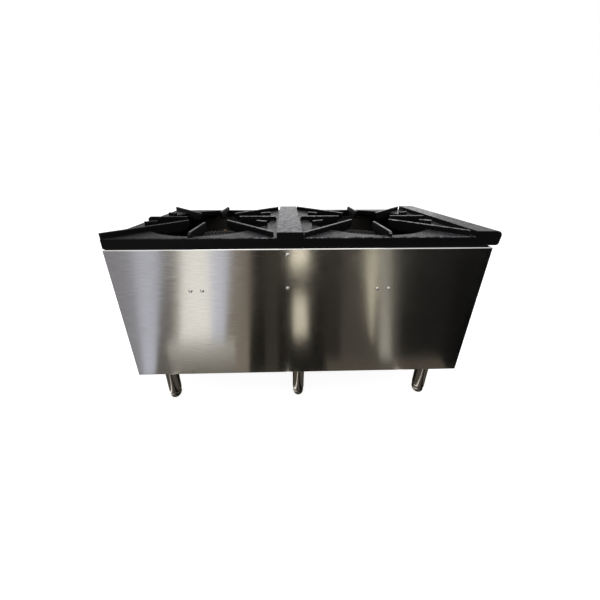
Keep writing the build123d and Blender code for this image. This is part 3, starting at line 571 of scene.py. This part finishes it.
# Drawn aluminium tube: soft, pale grey metal, clouded by handling in spots of 4 to 5 mm.
handled_size = 4.545  # millimetres
aluminium, tree, shader = surface("drawn_aluminium")
place = add(tree, "ShaderNodeTexCoord").outputs["Object"]
handled = add(
    tree, "ShaderNodeTexNoise", {"Scale": 1000 / handled_size, "Detail": 2}, {"Vector": place}
)
vary(shader, handled, ("#b3b5b7", "#d5d6d8"), (0.3, 0.42), {"Metallic": 1})

feed_radius, feed_bend = 6.35, 20
pilot_radius, pilot_bend = 3.2, 14
union_y, holder_x, feed_bend_y = manifold_y + 21, 39, 60.0
for which, side in (("outer", 1), ("inner", -1)):
    valve_x = side * valve_places[3]
    run = [
        (valve_x, union_y, mixer_z),
        (valve_x, feed_bend_y, mixer_z),
        (side * holder_x, feed_bend_y, mixer_z),
    ]
    tube = f"rear_{which}_feed_tube"
    shape = bent_tube(feed_radius, run, feed_bend)
    piece(f"{tube}_run", shape, aluminium, "body", [tube])
for name, x in pilot_x.items():
    tap_x = math.copysign(pilot_tap, x)
    run = [
        (tap_x, manifold_y + 12, pilot_z),
        (tap_x, manifold_y + 42, pilot_z),
        (x, manifold_y + 92, pilot_z),
        (x, burner_places[name] - 6.5, pilot_z),
    ]
    tube = f"{name}_pilot_tube"
    shape = bent_tube(pilot_radius, run, pilot_bend, 20)
    piece(f"{tube}_run", shape, aluminium, "body", [tube])

# ---------------------------------------------------------------- burners
# Each burner is grey iron, sand cast: two outer rings on four arms, and a separate inner
# ring, each on its own air mixer. Gas burns in the notches between the teeth.

# Bare cast iron, blackened by heat: a dark brown-grey, with a little rust in patches of
# 22 mm. The sand mould's grain is drawn 2.4 mm apart, coarser than it is.
sand_gap, rust_size = 2.381, 22.22  # millimetres
burner_iron, tree, shader = surface("bare_cast_iron")
place = add(tree, "ShaderNodeTexCoord").outputs["Object"]
sand = add(tree, "ShaderNodeTexNoise", {"Scale": 1000 / sand_gap, "Detail": 4}, {"Vector": place})
rust = add(tree, "ShaderNodeTexNoise", {"Scale": 1000 / rust_size, "Detail": 4}, {"Vector": place})
rust_share = add(
    tree, "ShaderNodeMapRange", {"From Min": 0.45, "From Max": 0.7}, {"Value": rust}
)
burner_tone = add(
    tree,
    "ShaderNodeMix",
    {"data_type": "RGBA", colour_a: linear("#121213"), colour_b: linear("#241f1c")},
    {"Factor": rust_share},
)
burner_rough = add(tree, "ShaderNodeMapRange", {"To Min": 0.55, "To Max": 0.75}, {"Value": sand})
burner_bump = add(tree, "ShaderNodeBump", {"Strength": 0.5, "Distance": 0.0006}, {"Height": sand})
feed(
    shader,
    {"Metallic": 0.3},
    {"Base Color": burner_tone, "Roughness": burner_rough, "Normal": burner_bump},
)

port_z, ring_bottom = 549.2, 519.2


def toothed_ring(outer, inner, teeth, middle_y):
    """A burner ring in millimetres, its crown cut into teeth by notches for the gas. The
    notches take up 0.6 of the outer edge."""
    shape = bmesh.new()
    notch_depth = 4.6
    pitch = 2 * math.pi / teeth
    half_notch = 0.3 * pitch * outer
    # Radius, height, and whether the notches cut that corner of the section.
    section = [
        (outer - 1.5, ring_bottom, False),
        (outer, ring_bottom + 1.5, False),
        (outer, port_z - 1, True),
        (outer - 1, port_z, True),
        (inner + 1, port_z, True),
        (inner, port_z - 1, True),
        (inner, ring_bottom + 1.5, False),
        (inner + 1.5, ring_bottom, False),
    ]
    rows = []
    for radius, height, cut in section:
        half = min(math.asin(min(half_notch / radius, 1)), 0.44 * pitch)
        floor_z = height - notch_depth if cut else height
        row = []
        for tooth in range(teeth):
            for shift, z in (
                (-half, height),
                (-0.25 * half, floor_z),
                (0.25 * half, floor_z),
                (half, height),
                (pitch / 2, height),
            ):
                angle = (tooth + 0.5) * pitch + shift
                x, y = radius * math.cos(angle), middle_y + radius * math.sin(angle)
                row.append(shape.verts.new((x, y, z)))
        rows.append(row)
    skin(shape, rows + rows[:1])
    return shape


def windowed_disc(inner, outer, thickness, place):
    """A disc across Y with an air window above and one below its middle, in millimetres."""
    shape = bmesh.new()
    x, y, z = place
    window_inner, window_outer = 11.5, 19.5
    sides = 48
    third = sides // 6
    angles = [2 * math.pi * step / sides for step in range(sides)]
    rows = []
    for radius in (inner, window_inner, window_outer, outer):
        ring = [(x + radius * math.cos(a), y, z + radius * math.sin(a)) for a in angles]
        rows.append([shape.verts.new(spot) for spot in ring])
    for index, (low, high) in enumerate(zip(rows, rows[1:])):
        for step in range(sides):
            # A window is the middle third of each half of the middle band.
            if index == 1 and third < (step + 0.5) % (3 * third) < 2 * third:
                continue
            after = (step + 1) % sides
            shape.faces.new((low[step], low[after], high[after], high[step]))
    grown = bmesh.ops.extrude_face_region(shape, geom=shape.faces[:])
    verts = [v for v in grown["geom"] if isinstance(v, bmesh.types.BMVert)]
    bmesh.ops.translate(shape, vec=(0, thickness, 0), verts=verts)
    return shape


def air_mixer(x, mouth_y, length):
    """A venturi tube along Y: a bell mouth behind a windowed plate, a throat, and a tube."""
    mouth = (x, mouth_y, mixer_z)
    profile = [
        (0, 36), (11, 36), (12.2, 32.5), (20, 13.5), (21, 10), (21, 0.8), (21.6, 0), (23.3, 0),
        (24, 0.8), (24, 9), (23.2, 12.5), (15.2, 32.5), (14, 37), (14.1, 46),
        (17, length - 40), (17, length - 4), (14, length), (0, length),
    ]
    return [turned(profile, mouth, (0, 1, 0), 48), windowed_disc(8.4, 21.5, 3, mouth)]


# Each ring's outer and inner radius and its number of notches, in millimetres.
large_ring, middle_ring, small_ring = (116, 94, 60), (74, 54, 32), (40, 16, 16)
arm_start, arm_end, arm_half_width, arm_height = 68, 100, 8, 16
mixer_x = {"outer": 30, "inner": -30}
mixer_reach = 225.9  # from a mixer's mouth to the middle of its burner
riser = [(0, 0), (9.5, 0), (9.5, 17), (11, 20), (12, 22), (0, 22)]
for name, y in burner_places.items():
    mouth_y = y - mixer_reach
    x = mixer_x["outer"]
    outer = [toothed_ring(*large_ring, y), toothed_ring(*middle_ring, y)]
    outer += air_mixer(x, mouth_y, mixer_reach - 45)
    # One riser comes up under each of the two outer rings.
    for riser_y in (-56.5, -100.6):
        outer.append(turned(riser, (x, y + riser_y, mixer_z), sides=40))
    for angle in (45, 135, 225, 315):
        arm = bar(
            arm_start, arm_end, -arm_half_width, arm_half_width,
            ring_bottom, ring_bottom + arm_height, 2,
        )
        spread = Matrix.Rotation(math.radians(angle), 3, "Z")
        bmesh.ops.rotate(arm, matrix=spread, verts=arm.verts)
        bmesh.ops.translate(arm, vec=(0, y, 0), verts=arm.verts)
        outer.append(arm)
    for foot_x in (-64, 64):
        outer.append(
            bar(foot_x - 8, foot_x + 8, y - 8, y + 8, support_top, ring_bottom + 1, 1.5)
        )
    rings = f"{name}_outer_burner"
    piece(f"{name}_outer_rings", joined(outer), burner_iron, "body", [rings])

    x = mixer_x["inner"]
    inner = [toothed_ring(*small_ring, y), turned(riser, (x, y, mixer_z), sides=40)]
    inner += air_mixer(x, mouth_y, mixer_reach + 13.5)
    inner.append(bar(x - 8, x + 8, y - 8, y + 8, support_top, mixer_z, 1.5))
    ring = f"{name}_inner_burner"
    piece(f"{name}_inner_ring", joined(inner), burner_iron, "body", [ring])

    # Each mixer's air shutter is a thin disc with the same two windows, held by the hood.
    for which, x in mixer_x.items():
        shutter = f"{name}_{which}_shutter"
        disc = windowed_disc(8.3, 23, 1.5, (x, mouth_y - 1.8, mixer_z))
        piece(f"{shutter}_disc", disc, galvanised, shutter, [shutter])

# ---------------------------------------------------------------- cast-iron top sections
# Two large iron castings lie loose on the cabinet. They are sand cast, ground along the
# edges and finished in black stove enamel paint.

# Black stove paint on sand-cast iron: almost black, with a low sheen that the mould's
# grain, 2 mm apart, breaks up. The level tops show grey bare iron in patches of about 14 mm:
# partly wear from sliding pots, partly a painted highlight.
grain_gap, patch_size = 2.0, 14.29  # millimetres
stove_black, tree, shader = surface("black_painted_cast_iron")
place = add(tree, "ShaderNodeTexCoord").outputs["Object"]
axes = add(tree, "ShaderNodeSeparateXYZ", {}, {0: place})
facing = add(tree, "ShaderNodeNewGeometry")
slope = add(tree, "ShaderNodeSeparateXYZ", {}, {0: facing.outputs["Normal"]})
cast_grain = add(
    tree,
    "ShaderNodeTexNoise",
    {"Scale": 1000 / grain_gap, "Detail": 5, "Roughness": 0.65},
    {"Vector": place},
)
blotch = add(
    tree,
    "ShaderNodeTexNoise",
    {"Scale": 1000 / patch_size, "Detail": 6, "Roughness": 0.65},
    {"Vector": place},
)

# The grey bare iron, partly wear from pots and hands and partly painted highlight, is most on
# the rib tops, less on the ledges, least on the plates and the edges. The two ledges, as their
# middle and half their depth from front to rear, in metres:
ledge_places = {"rear": (0.0347, 0.0364), "front": (-0.53, 0.0598)}
rear_ledge, front_ledge = (
    add(
        tree,
        "ShaderNodeMath",
        {"operation": "COMPARE", 1: middle, 2: half_depth},
        {0: axes.outputs["Y"]},
    )
    for middle, half_depth in ledge_places.values()
)
ledge = add(tree, "ShaderNodeMath", {"operation": "ADD"}, {0: rear_ledge, 1: front_ledge})
least_wear_and_highlight = add(tree, "ShaderNodeMapRange", {"To Min": 0.5, "To Max": 0.15}, {"Value": ledge})
most_wear_and_highlight = add(tree, "ShaderNodeMapRange", {"To Min": 1, "To Max": 0.6}, {"Value": ledge})
top_patch = add(
    tree,
    "ShaderNodeMapRange",
    {"From Min": 0.38, "From Max": 0.62},
    {"Value": blotch, "To Min": least_wear_and_highlight, "To Max": most_wear_and_highlight},
)
wear_and_highlight_from, wear_and_highlight_full = 0.6308, 0.6312  # metres above the floor
top_height = add(
    tree,
    "ShaderNodeMapRange",
    {"From Min": wear_and_highlight_from, "From Max": wear_and_highlight_full},
    {"Value": axes.outputs["Z"]},
)
top_wear_and_highlight = add(
    tree, "ShaderNodeMath", {"operation": "MULTIPLY"}, {0: top_height, 1: top_patch}
)
level_share = add(
    tree,
    "ShaderNodeMapRange",
    {"From Min": 0.95, "From Max": 0.99},
    {"Value": slope.outputs["Z"]},
)
plate_patch = add(
    tree,
    "ShaderNodeMapRange",
    {"From Min": 0.36, "From Max": 0.66, "To Min": 0.04, "To Max": 0.24},
    {"Value": blotch},
)
plate_wear_and_highlight = add(
    tree, "ShaderNodeMath", {"operation": "MULTIPLY"}, {0: level_share, 1: plate_patch}
)
# An edge is what slopes, neither level nor upright. The nose's edges stay painted.
edge_low = add(
    tree,
    "ShaderNodeMapRange",
    {"From Min": 0.25, "From Max": 0.5},
    {"Value": slope.outputs["Z"]},
)
edge_high = add(
    tree,
    "ShaderNodeMapRange",
    {"From Min": 0.98, "From Max": 0.88},
    {"Value": slope.outputs["Z"]},
)
nose_rear, ledge_front = -0.535, -0.520  # metres from the middle of the range
behind_nose = add(
    tree,
    "ShaderNodeMapRange",
    {"From Min": nose_rear, "From Max": ledge_front},
    {"Value": axes.outputs["Y"]},
)
edge_patch = add(
    tree,
    "ShaderNodeMapRange",
    {"From Min": 0.4, "From Max": 0.65, "To Min": 0.08, "To Max": 0.8},
    {"Value": blotch},
)
edge_wear_and_highlight = edge_low
for share in (edge_high, behind_nose, edge_patch):
    edge_wear_and_highlight = add(
        tree, "ShaderNodeMath", {"operation": "MULTIPLY"}, {0: edge_wear_and_highlight, 1: share}
    )
all_wear_and_highlight = top_wear_and_highlight
for wear_and_highlight_part in (plate_wear_and_highlight, edge_wear_and_highlight):
    all_wear_and_highlight = add(
        tree, "ShaderNodeMath", {"operation": "MAXIMUM"}, {0: all_wear_and_highlight, 1: wear_and_highlight_part}
    )
# The front burner is used more than the rear one, so the wear and its painted highlight fade
# out towards the rear.
least_used, most_used = 0.42, 0.08  # metres behind the middle of the range
use = add(
    tree,
    "ShaderNodeMapRange",
    {"From Min": least_used, "From Max": most_used, "To Min": 0.1, "To Max": 1},
    {"Value": axes.outputs["Y"]},
)
wear_and_highlight = add(tree, "ShaderNodeMath", {"operation": "MULTIPLY"}, {0: all_wear_and_highlight, 1: use})
paint_tone = add(
    tree,
    "ShaderNodeMix",
    {"data_type": "RGBA", colour_a: linear("#030304"), colour_b: linear("#0c0c0e")},
    {"Factor": blotch},
)
# Partly painted highlight: the grey of bare iron, mixed in on tops, plates and edges.
iron_tone = add(
    tree,
    "ShaderNodeMix",
    {"data_type": "RGBA", colour_b: linear("#828286")},
    {"Factor": wear_and_highlight, colour_a: paint_tone},
)
# Level faces are rubbed smoother than upright ones, most where the range is used most.
rubbed = add(tree, "ShaderNodeMath", {"operation": "MULTIPLY"}, {0: level_share, 1: use})
sand_rough = add(
    tree,
    "ShaderNodeMapRange",
    {"From Min": 0.3, "From Max": 0.7, "To Min": 0.62, "To Max": 0.42},
    {"Value": blotch},
)
iron_rough = add(
    tree, "ShaderNodeMath", {"operation": "MULTIPLY_ADD", 1: -0.25}, {0: rubbed, 2: sand_rough}
)
iron_bump = add(
    tree, "ShaderNodeBump", {"Strength": 0.4, "Distance": 0.0006}, {"Height": cast_grain}
)
feed(
    shader,
    {"Specular IOR Level": 0.1},
    {
        "Base Color": iron_tone,
        "Metallic": wear_and_highlight,
        "Roughness": iron_rough,
        "Normal": iron_bump,
    },
)

# The mould leaves no sharp edge anywhere: each is rounded by about 1.5 mm, once the
# casting's faces are joined along their edges.
for name in ("front_top_section", "rear_top_section"):
    weld = nodes[name].modifiers.new("weld", "WELD")
    weld.merge_threshold = 0.00002
    rounding = nodes[name].modifiers.new("rounding", "BEVEL")
    rounding.width = 0.0015
    rounding.segments = 3
    rounding.angle_limit = 0.5
    rounding.harden_normals = True
dress(stove_black, "front_top_section", "rear_top_section")

# ---------------------------------------------------------------- knobs
# Four knobs of black phenolic, each moulded in one piece with a round skirt and a bar grip,
# are pushed onto the valves' stems.

# Black phenolic: near black, with the soft gloss of a polished mould and a faint orange
# peel 1.4 mm apart.
peel_gap = 1.429  # millimetres
phenolic, tree, shader = surface("black_phenolic")
place = add(tree, "ShaderNodeTexCoord").outputs["Object"]
peel = add(tree, "ShaderNodeTexNoise", {"Scale": 1000 / peel_gap, "Detail": 2}, {"Vector": place})
vary(shader, peel, ("#0d0d0e", "#151516"), (0.26, 0.36), {"IOR": 1.6})

# White paint, brushed into a groove along each grip: flat and slightly uneven, in specks
# of about 1 mm. The line points up when the knob is off.
speck_gap = 1.111  # millimetres
white_paint, tree, shader = surface("white_groove_paint")
place = add(tree, "ShaderNodeTexCoord").outputs["Object"]
speck = add(
    tree, "ShaderNodeTexNoise", {"Scale": 1000 / speck_gap, "Detail": 2}, {"Vector": place}
)
vary(shader, speck, ("#d9d8d4", "#efeeeb"), (0.45, 0.6))

knob_back = -521.8
knob_places = {"front_outer": 30, "front_inner": -30, "rear_outer": 110, "rear_inner": -110}
skirt = [
    (0, 0), (25.2, 0), (26, 0.8), (26, 4.0), (25.5, 5.2), (24.2, 6.1), (20.2, 8.0), (18.2, 9.6),
    (17.3, 11.4), (17, 13.5), (16.3, 20), (15.6, 21.4), (14.2, 22), (0, 22),
]
grip_half_width, grip_half_length, grip_end = 6.5, 22, 5
grip_sides = 40
grip_outline = []
for step in range(grip_sides):
    angle = 2 * math.pi * step / grip_sides
    straight = math.copysign(grip_half_length - grip_end, math.sin(angle))
    grip_outline.append((grip_half_width * math.cos(angle), straight + grip_end * math.sin(angle)))
# Distance from the knob's back, and how far the outline has drawn in there.
grip_rows = ((3, 0), (26.4, 1.5), (28.4, 1.9), (29.3, 2.6), (29.8, 3.8))
line_half_width, line_low, line_high = 0.9, mixer_z + 7, mixer_z + 17.5
line_face, line_depth = knob_back - 30, 2
for name, x in knob_places.items():
    grip = bmesh.new()
    rows = []
    for depth, inset in grip_rows:
        share_x, share_z = 1 - inset / grip_half_width, 1 - inset / grip_half_length
        ring = [
            (x + share_x * side_x, knob_back - depth, mixer_z + share_z * side_z)
            for side_x, side_z in grip_outline
        ]
        rows.append([grip.verts.new(spot) for spot in ring])
    skin(grip, rows)
    grip.faces.new(rows[0])
    grip.faces.new(rows[-1])
    whole = joined([turned(skirt, (x, knob_back, mixer_z), (0, -1, 0), 72), grip])
    body = f"{name}_valve_control"
    piece(f"{name}_bar_knob", whole, phenolic, body, [f"{name}_knob"])
    line = bar(
        x - line_half_width, x + line_half_width, line_face, line_face + line_depth,
        line_low, line_high, 0.3,
    )
    piece(f"{name}_pointer", line, white_paint, body)

# ---------------------------------------------------------------- floor, light and camera
# A plain white floor and background. Bright and dark cards round the range, out of the
# camera's sight, give the brushed steel something to reflect.
scene = bpy.context.scene
scene.view_settings.view_transform = "Standard"


def seen(tree):
    """1 where the camera or a reflection or a clear part shows the surface, and else 0."""
    ray = add(tree, "ShaderNodeLightPath")
    share = ray.outputs["Is Camera Ray"]
    for way in ("Is Glossy Ray", "Is Transmission Ray"):
        share = add(
            tree, "ShaderNodeMath", {"operation": "MAXIMUM"}, {0: share, 1: ray.outputs[way]}
        )
    return share


# White backdrop all round, which lights the range more softly than it looks.
world = bpy.data.worlds.new("studio")
scene.world = world
world.use_nodes = True
tree = world.node_tree
tree.nodes.clear()
sky_glow = add(
    tree, "ShaderNodeMapRange", {"To Min": 0.55, "To Max": 1.0}, {"Value": seen(tree)}
)
sky = add(tree, "ShaderNodeBackground", {"Color": linear("#ffffff")}, {"Strength": sky_glow})
add(tree, "ShaderNodeOutputWorld", {}, {"Surface": sky})

# White seamless floor: the camera sees white, darker only where the range shades it.
floor_glow = 0.88  # share of white
floor_white, tree, shader = surface("white_floor")
tree.nodes.remove(shader)
paint = add(tree, "ShaderNodeBsdfDiffuse", {"Color": linear("#c8c8c8")})
lit = add(tree, "ShaderNodeMath", {"operation": "MULTIPLY", 1: floor_glow}, {0: seen(tree)})
glow = add(tree, "ShaderNodeEmission", {"Color": linear("#ffffff")}, {"Strength": lit})
both = add(tree, "ShaderNodeAddShader", {}, {0: paint, 1: glow})
feed(tree.nodes["Material Output"], {}, {"Surface": both})


def on_floor(reach_x, reach_y, level=0.0):
    """The corners of a sheet centred under the range, level millimetres above the floor."""
    signs = ((-1, -1), (1, -1), (1, 1), (-1, 1))
    return [(side * reach_x, end * reach_y, level / 1000) for side, end in signs]


one_face = [(0, 1, 2, 3)]


def stage(name, points, faces, material):
    """Adds a flat thing that stands round the range and isn't part of it."""
    mesh = bpy.data.meshes.new(name)
    mesh.from_pydata(points, [], faces)
    mesh.materials.append(material)
    made = bpy.data.objects.new(name, mesh)
    scene.collection.objects.link(made)
    return made


stage("floor", on_floor(60, 60), one_face, floor_white)


def stage_card(name, points, faces, tone, strength=1.0, turn=0):
    """A studio card of one plain colour, seen only in reflections."""
    material, tree, shader = surface(name)
    tree.nodes.remove(shader)
    light = add(tree, "ShaderNodeEmission", {"Color": linear(tone), "Strength": strength})
    feed(tree.nodes["Material Output"], {}, {"Surface": light})
    made = stage(name, points, faces, material)
    made.data.transform(Matrix.Rotation(turn, 4, "Z"))
    made.visible_camera = False
    made.visible_diffuse = False
    made.visible_transmission = False
    made.visible_volume_scatter = False
    made.visible_shadow = False


# Where the photograph was taken from: this far from the range's left side, and at this
# place along it and above the floor, in metres.
eye_off, eye_y, eye_z = 0.5614, 0.0458, 0.7873
left_face = half_width / 1000


def card(name, corners, tone, strength=1.0, level=1, wall=0.7, face=left_face, turn=0):
    """A card beside the range. It lies level millimetres above the floor and may run up from
    its far edge as a wall. The corners, far ones first, are where it seems to stand on that
    side of the range, as (along, height); face is that side's distance from the middle."""
    points = []
    for along, height in corners:
        reach = (eye_z - level / 1000) / (eye_z - height)
        x = eye_off - face - eye_off * reach
        points.append((x, eye_y + (along - eye_y) * reach, level / 1000))
    faces = one_face
    if wall:
        points += [(x, y, wall) for x, y, z in points[:2]]
        faces = one_face + [(0, 1, 5, 4)]
    stage_card(name, points, faces, tone, strength, turn)


# The cards' heights on the range's sides.
card_top, card_foot = 0.60, 0.14
# Left side, from the rear to the front: where each band starts, at the top and at the foot,
# its tone and its strength. The last row is where the last band ends.
left_bands = [
    (1.00, 1.30, "#a09fa6", 1.0),
    (0.449, 0.517, "#dfe2f2", 1.0),
    (0.374, 0.480, "#706c68", 1.0),
    (0.345, 0.425, "#a8a49c", 1.0),
    (0.326, 0.400, "#fffdf8", 1.25),
    (0.248, 0.292, "#e8ecfc", 1.0),
    (0.196, 0.2585, "#948a7e", 1.0),
    (0.141, 0.172, "#1f1e1a", 1.0),
    (0.106, 0.118, "#403c35", 1.0),
    (0.066, 0.074, "#1a1916", 1.0),
    (-0.060, -0.075, "#33302b", 1.0),
    (-0.110, -0.130, "#544f48", 1.0),
    (-0.210, -0.262, "#bab7ad", 1.0),
    (-0.236, -0.303, "#4a4843", 1.0),
    (-0.262, -0.330, "#201f1e", 1.0),
    (-0.420, -0.487, "#0e0e0e", 1.0),
    (-1.00, -1.30, "", 0),
]
for index, (start, end) in enumerate(zip(left_bands, left_bands[1:])):
    top_a, foot_a, tone, strength = start
    top_b, foot_b = end[:2]
    corners = [(top_a, card_top), (top_b, card_top), (foot_b, card_foot), (foot_a, card_foot)]
    card(f"left_band_{index}", corners, tone, strength)

# Smaller lights between them, over the bands.
high_patch = [(0.033, 0.62), (-0.013, 0.62), (-0.013, 0.547), (0.033, 0.540)]
low_patch = [(0.026, 0.447), (-0.012, 0.447), (-0.018, 0.305), (0.026, 0.302)]
haze = [(-0.08, 0.205), (-0.46, 0.205), (-0.50, 0.14), (-0.09, 0.14)]
spear = [(-0.163, 0.62), (-0.203, 0.62), (-0.222, 0.28), (-0.218, 0.28)]
card("left_patch_high", high_patch, "#e8e0cc", 3.2, level=3, wall=0)
card("left_patch_low", low_patch, "#e8e0cc", 1.35, level=3, wall=0)
card("left_haze", haze, "#5f5950", level=3, wall=0)
dusk_steps = (0.14, 0.18, 0.215, 0.25, 0.29)
dusk_tones = ("#8a857e", "#9c978f", "#b4b0a8", "#d0cdc5")
for index, (low, high, tone) in enumerate(zip(dusk_steps, dusk_steps[1:], dusk_tones)):
    corners = [(0.42, high), (0.21, high), (0.21, low), (0.42, low)]
    card(f"left_dusk_{index}", corners, tone, level=3, wall=0)
card("left_spear", spear, "#d4cdb8", 1.5, level=3, wall=0)

# The other sides: a dark room with a few bright openings, with walls in front and behind.
opening_edges = (0.60, 0.34, 0.17, 0.05, -0.06, -0.17, -0.30, -0.60)
opening_tones = ("#2c2b2a", "#8d8b88", "#f2f2f0", "#a9aab0", "#4a4846", "#b9b6ae", "#232322")
for side, turn, face, wall in (
    ("front", math.pi / 2, 0.5188, 1.2),
    ("rear", -math.pi / 2, back_face / 1000, 1.2),
    ("right", math.pi, left_face, 0),
):
    openings = zip(opening_edges, opening_edges[1:], opening_tones)
    for index, (start, end, tone) in enumerate(openings):
        corners = [(start, card_top), (end, card_top), (end, card_foot), (start, card_foot)]
        band = f"{side}_band_{index}"
        card(band, corners, tone, level=0.4, wall=wall, face=face, turn=turn)

# The room's floor is grey and darker close round the range; the dark sheet under the range is
# painted shade. How far each sheet reaches in metres, and its level in millimetres. A bright
# streak and a dark one lie beside each leg.
under = {
    "room_floor": (6, 6, 0.2, "#85827c"),
    "under_far": (0.35, 0.9, 0.6, "#6f6a62"),
    # Painted shade: a dark sheet under the range.
    "under_near": (0.165, 0.42, 0.8, "#262422"),
}
for name, (reach_x, reach_y, level, tone) in under.items():
    stage_card(name, on_floor(reach_x, reach_y, level), one_face, tone)
streaks = ((0.030, 0.014, "#f2eee4", 2.4), (-0.045, 0.03, "#1c1b1a", 1.0))
streak_reach = 0.17
for name, (x, y) in leg_places.items():
    near, far = x / 1000, x / 1000 + math.copysign(streak_reach, x)
    for index, (shift, width, tone, strength) in enumerate(streaks):
        low, high = y / 1000 + shift, y / 1000 + shift + width
        points = [(near, low, 0.001), (far, low, 0.001), (far, high, 0.001), (near, high, 0.001)]
        stage_card(f"{name}_streak_{index}", points, one_face, tone, strength)

# The picture's width, the focal length, and where the camera's axis meets the picture, in
# pixels.
frame_size, focal, centre_x, centre_y = 600, 222.75, 291.08, 247.78
camera_data = bpy.data.cameras.new("camera")
camera_data.sensor_width = 36
camera_data.lens = camera_data.sensor_width * focal / frame_size
camera_data.shift_x = (frame_size / 2 - centre_x) / frame_size
camera_data.shift_y = (centre_y - frame_size / 2) / frame_size
camera_data.clip_start = 0.01
camera = bpy.data.objects.new("camera", camera_data)
scene.collection.objects.link(camera)
yaw, pitch = -0.023, 0.337
ahead = Vector(
    (math.cos(pitch) * math.cos(yaw), math.cos(pitch) * math.sin(yaw), -math.sin(pitch))
)
right = ahead.cross(Vector((0, 0, 1))).normalized()
up = right.cross(ahead)
aim = Matrix((right, up, -ahead)).transposed().to_4x4()
camera.matrix_world = Matrix.Translation((-left_face - eye_off, eye_y, eye_z)) @ aim
scene.camera = camera

# One large soft lamp overhead, a little to the right.
lamp_place, lamp_target = Vector((0.6, 0, 2.6)), Vector((0, 0, 0.5))
lamp_data = bpy.data.lights.new("overhead", "AREA")
lamp_data.shape = "RECTANGLE"
lamp_data.size = lamp_data.size_y = 2.4
lamp_data.energy = 45
lamp = bpy.data.objects.new("overhead", lamp_data)
scene.collection.objects.link(lamp)
lamp.location = lamp_place
lamp.rotation_euler = (lamp_target - lamp_place).to_track_quat("-Z", "Y").to_euler()
lamp.visible_camera = False
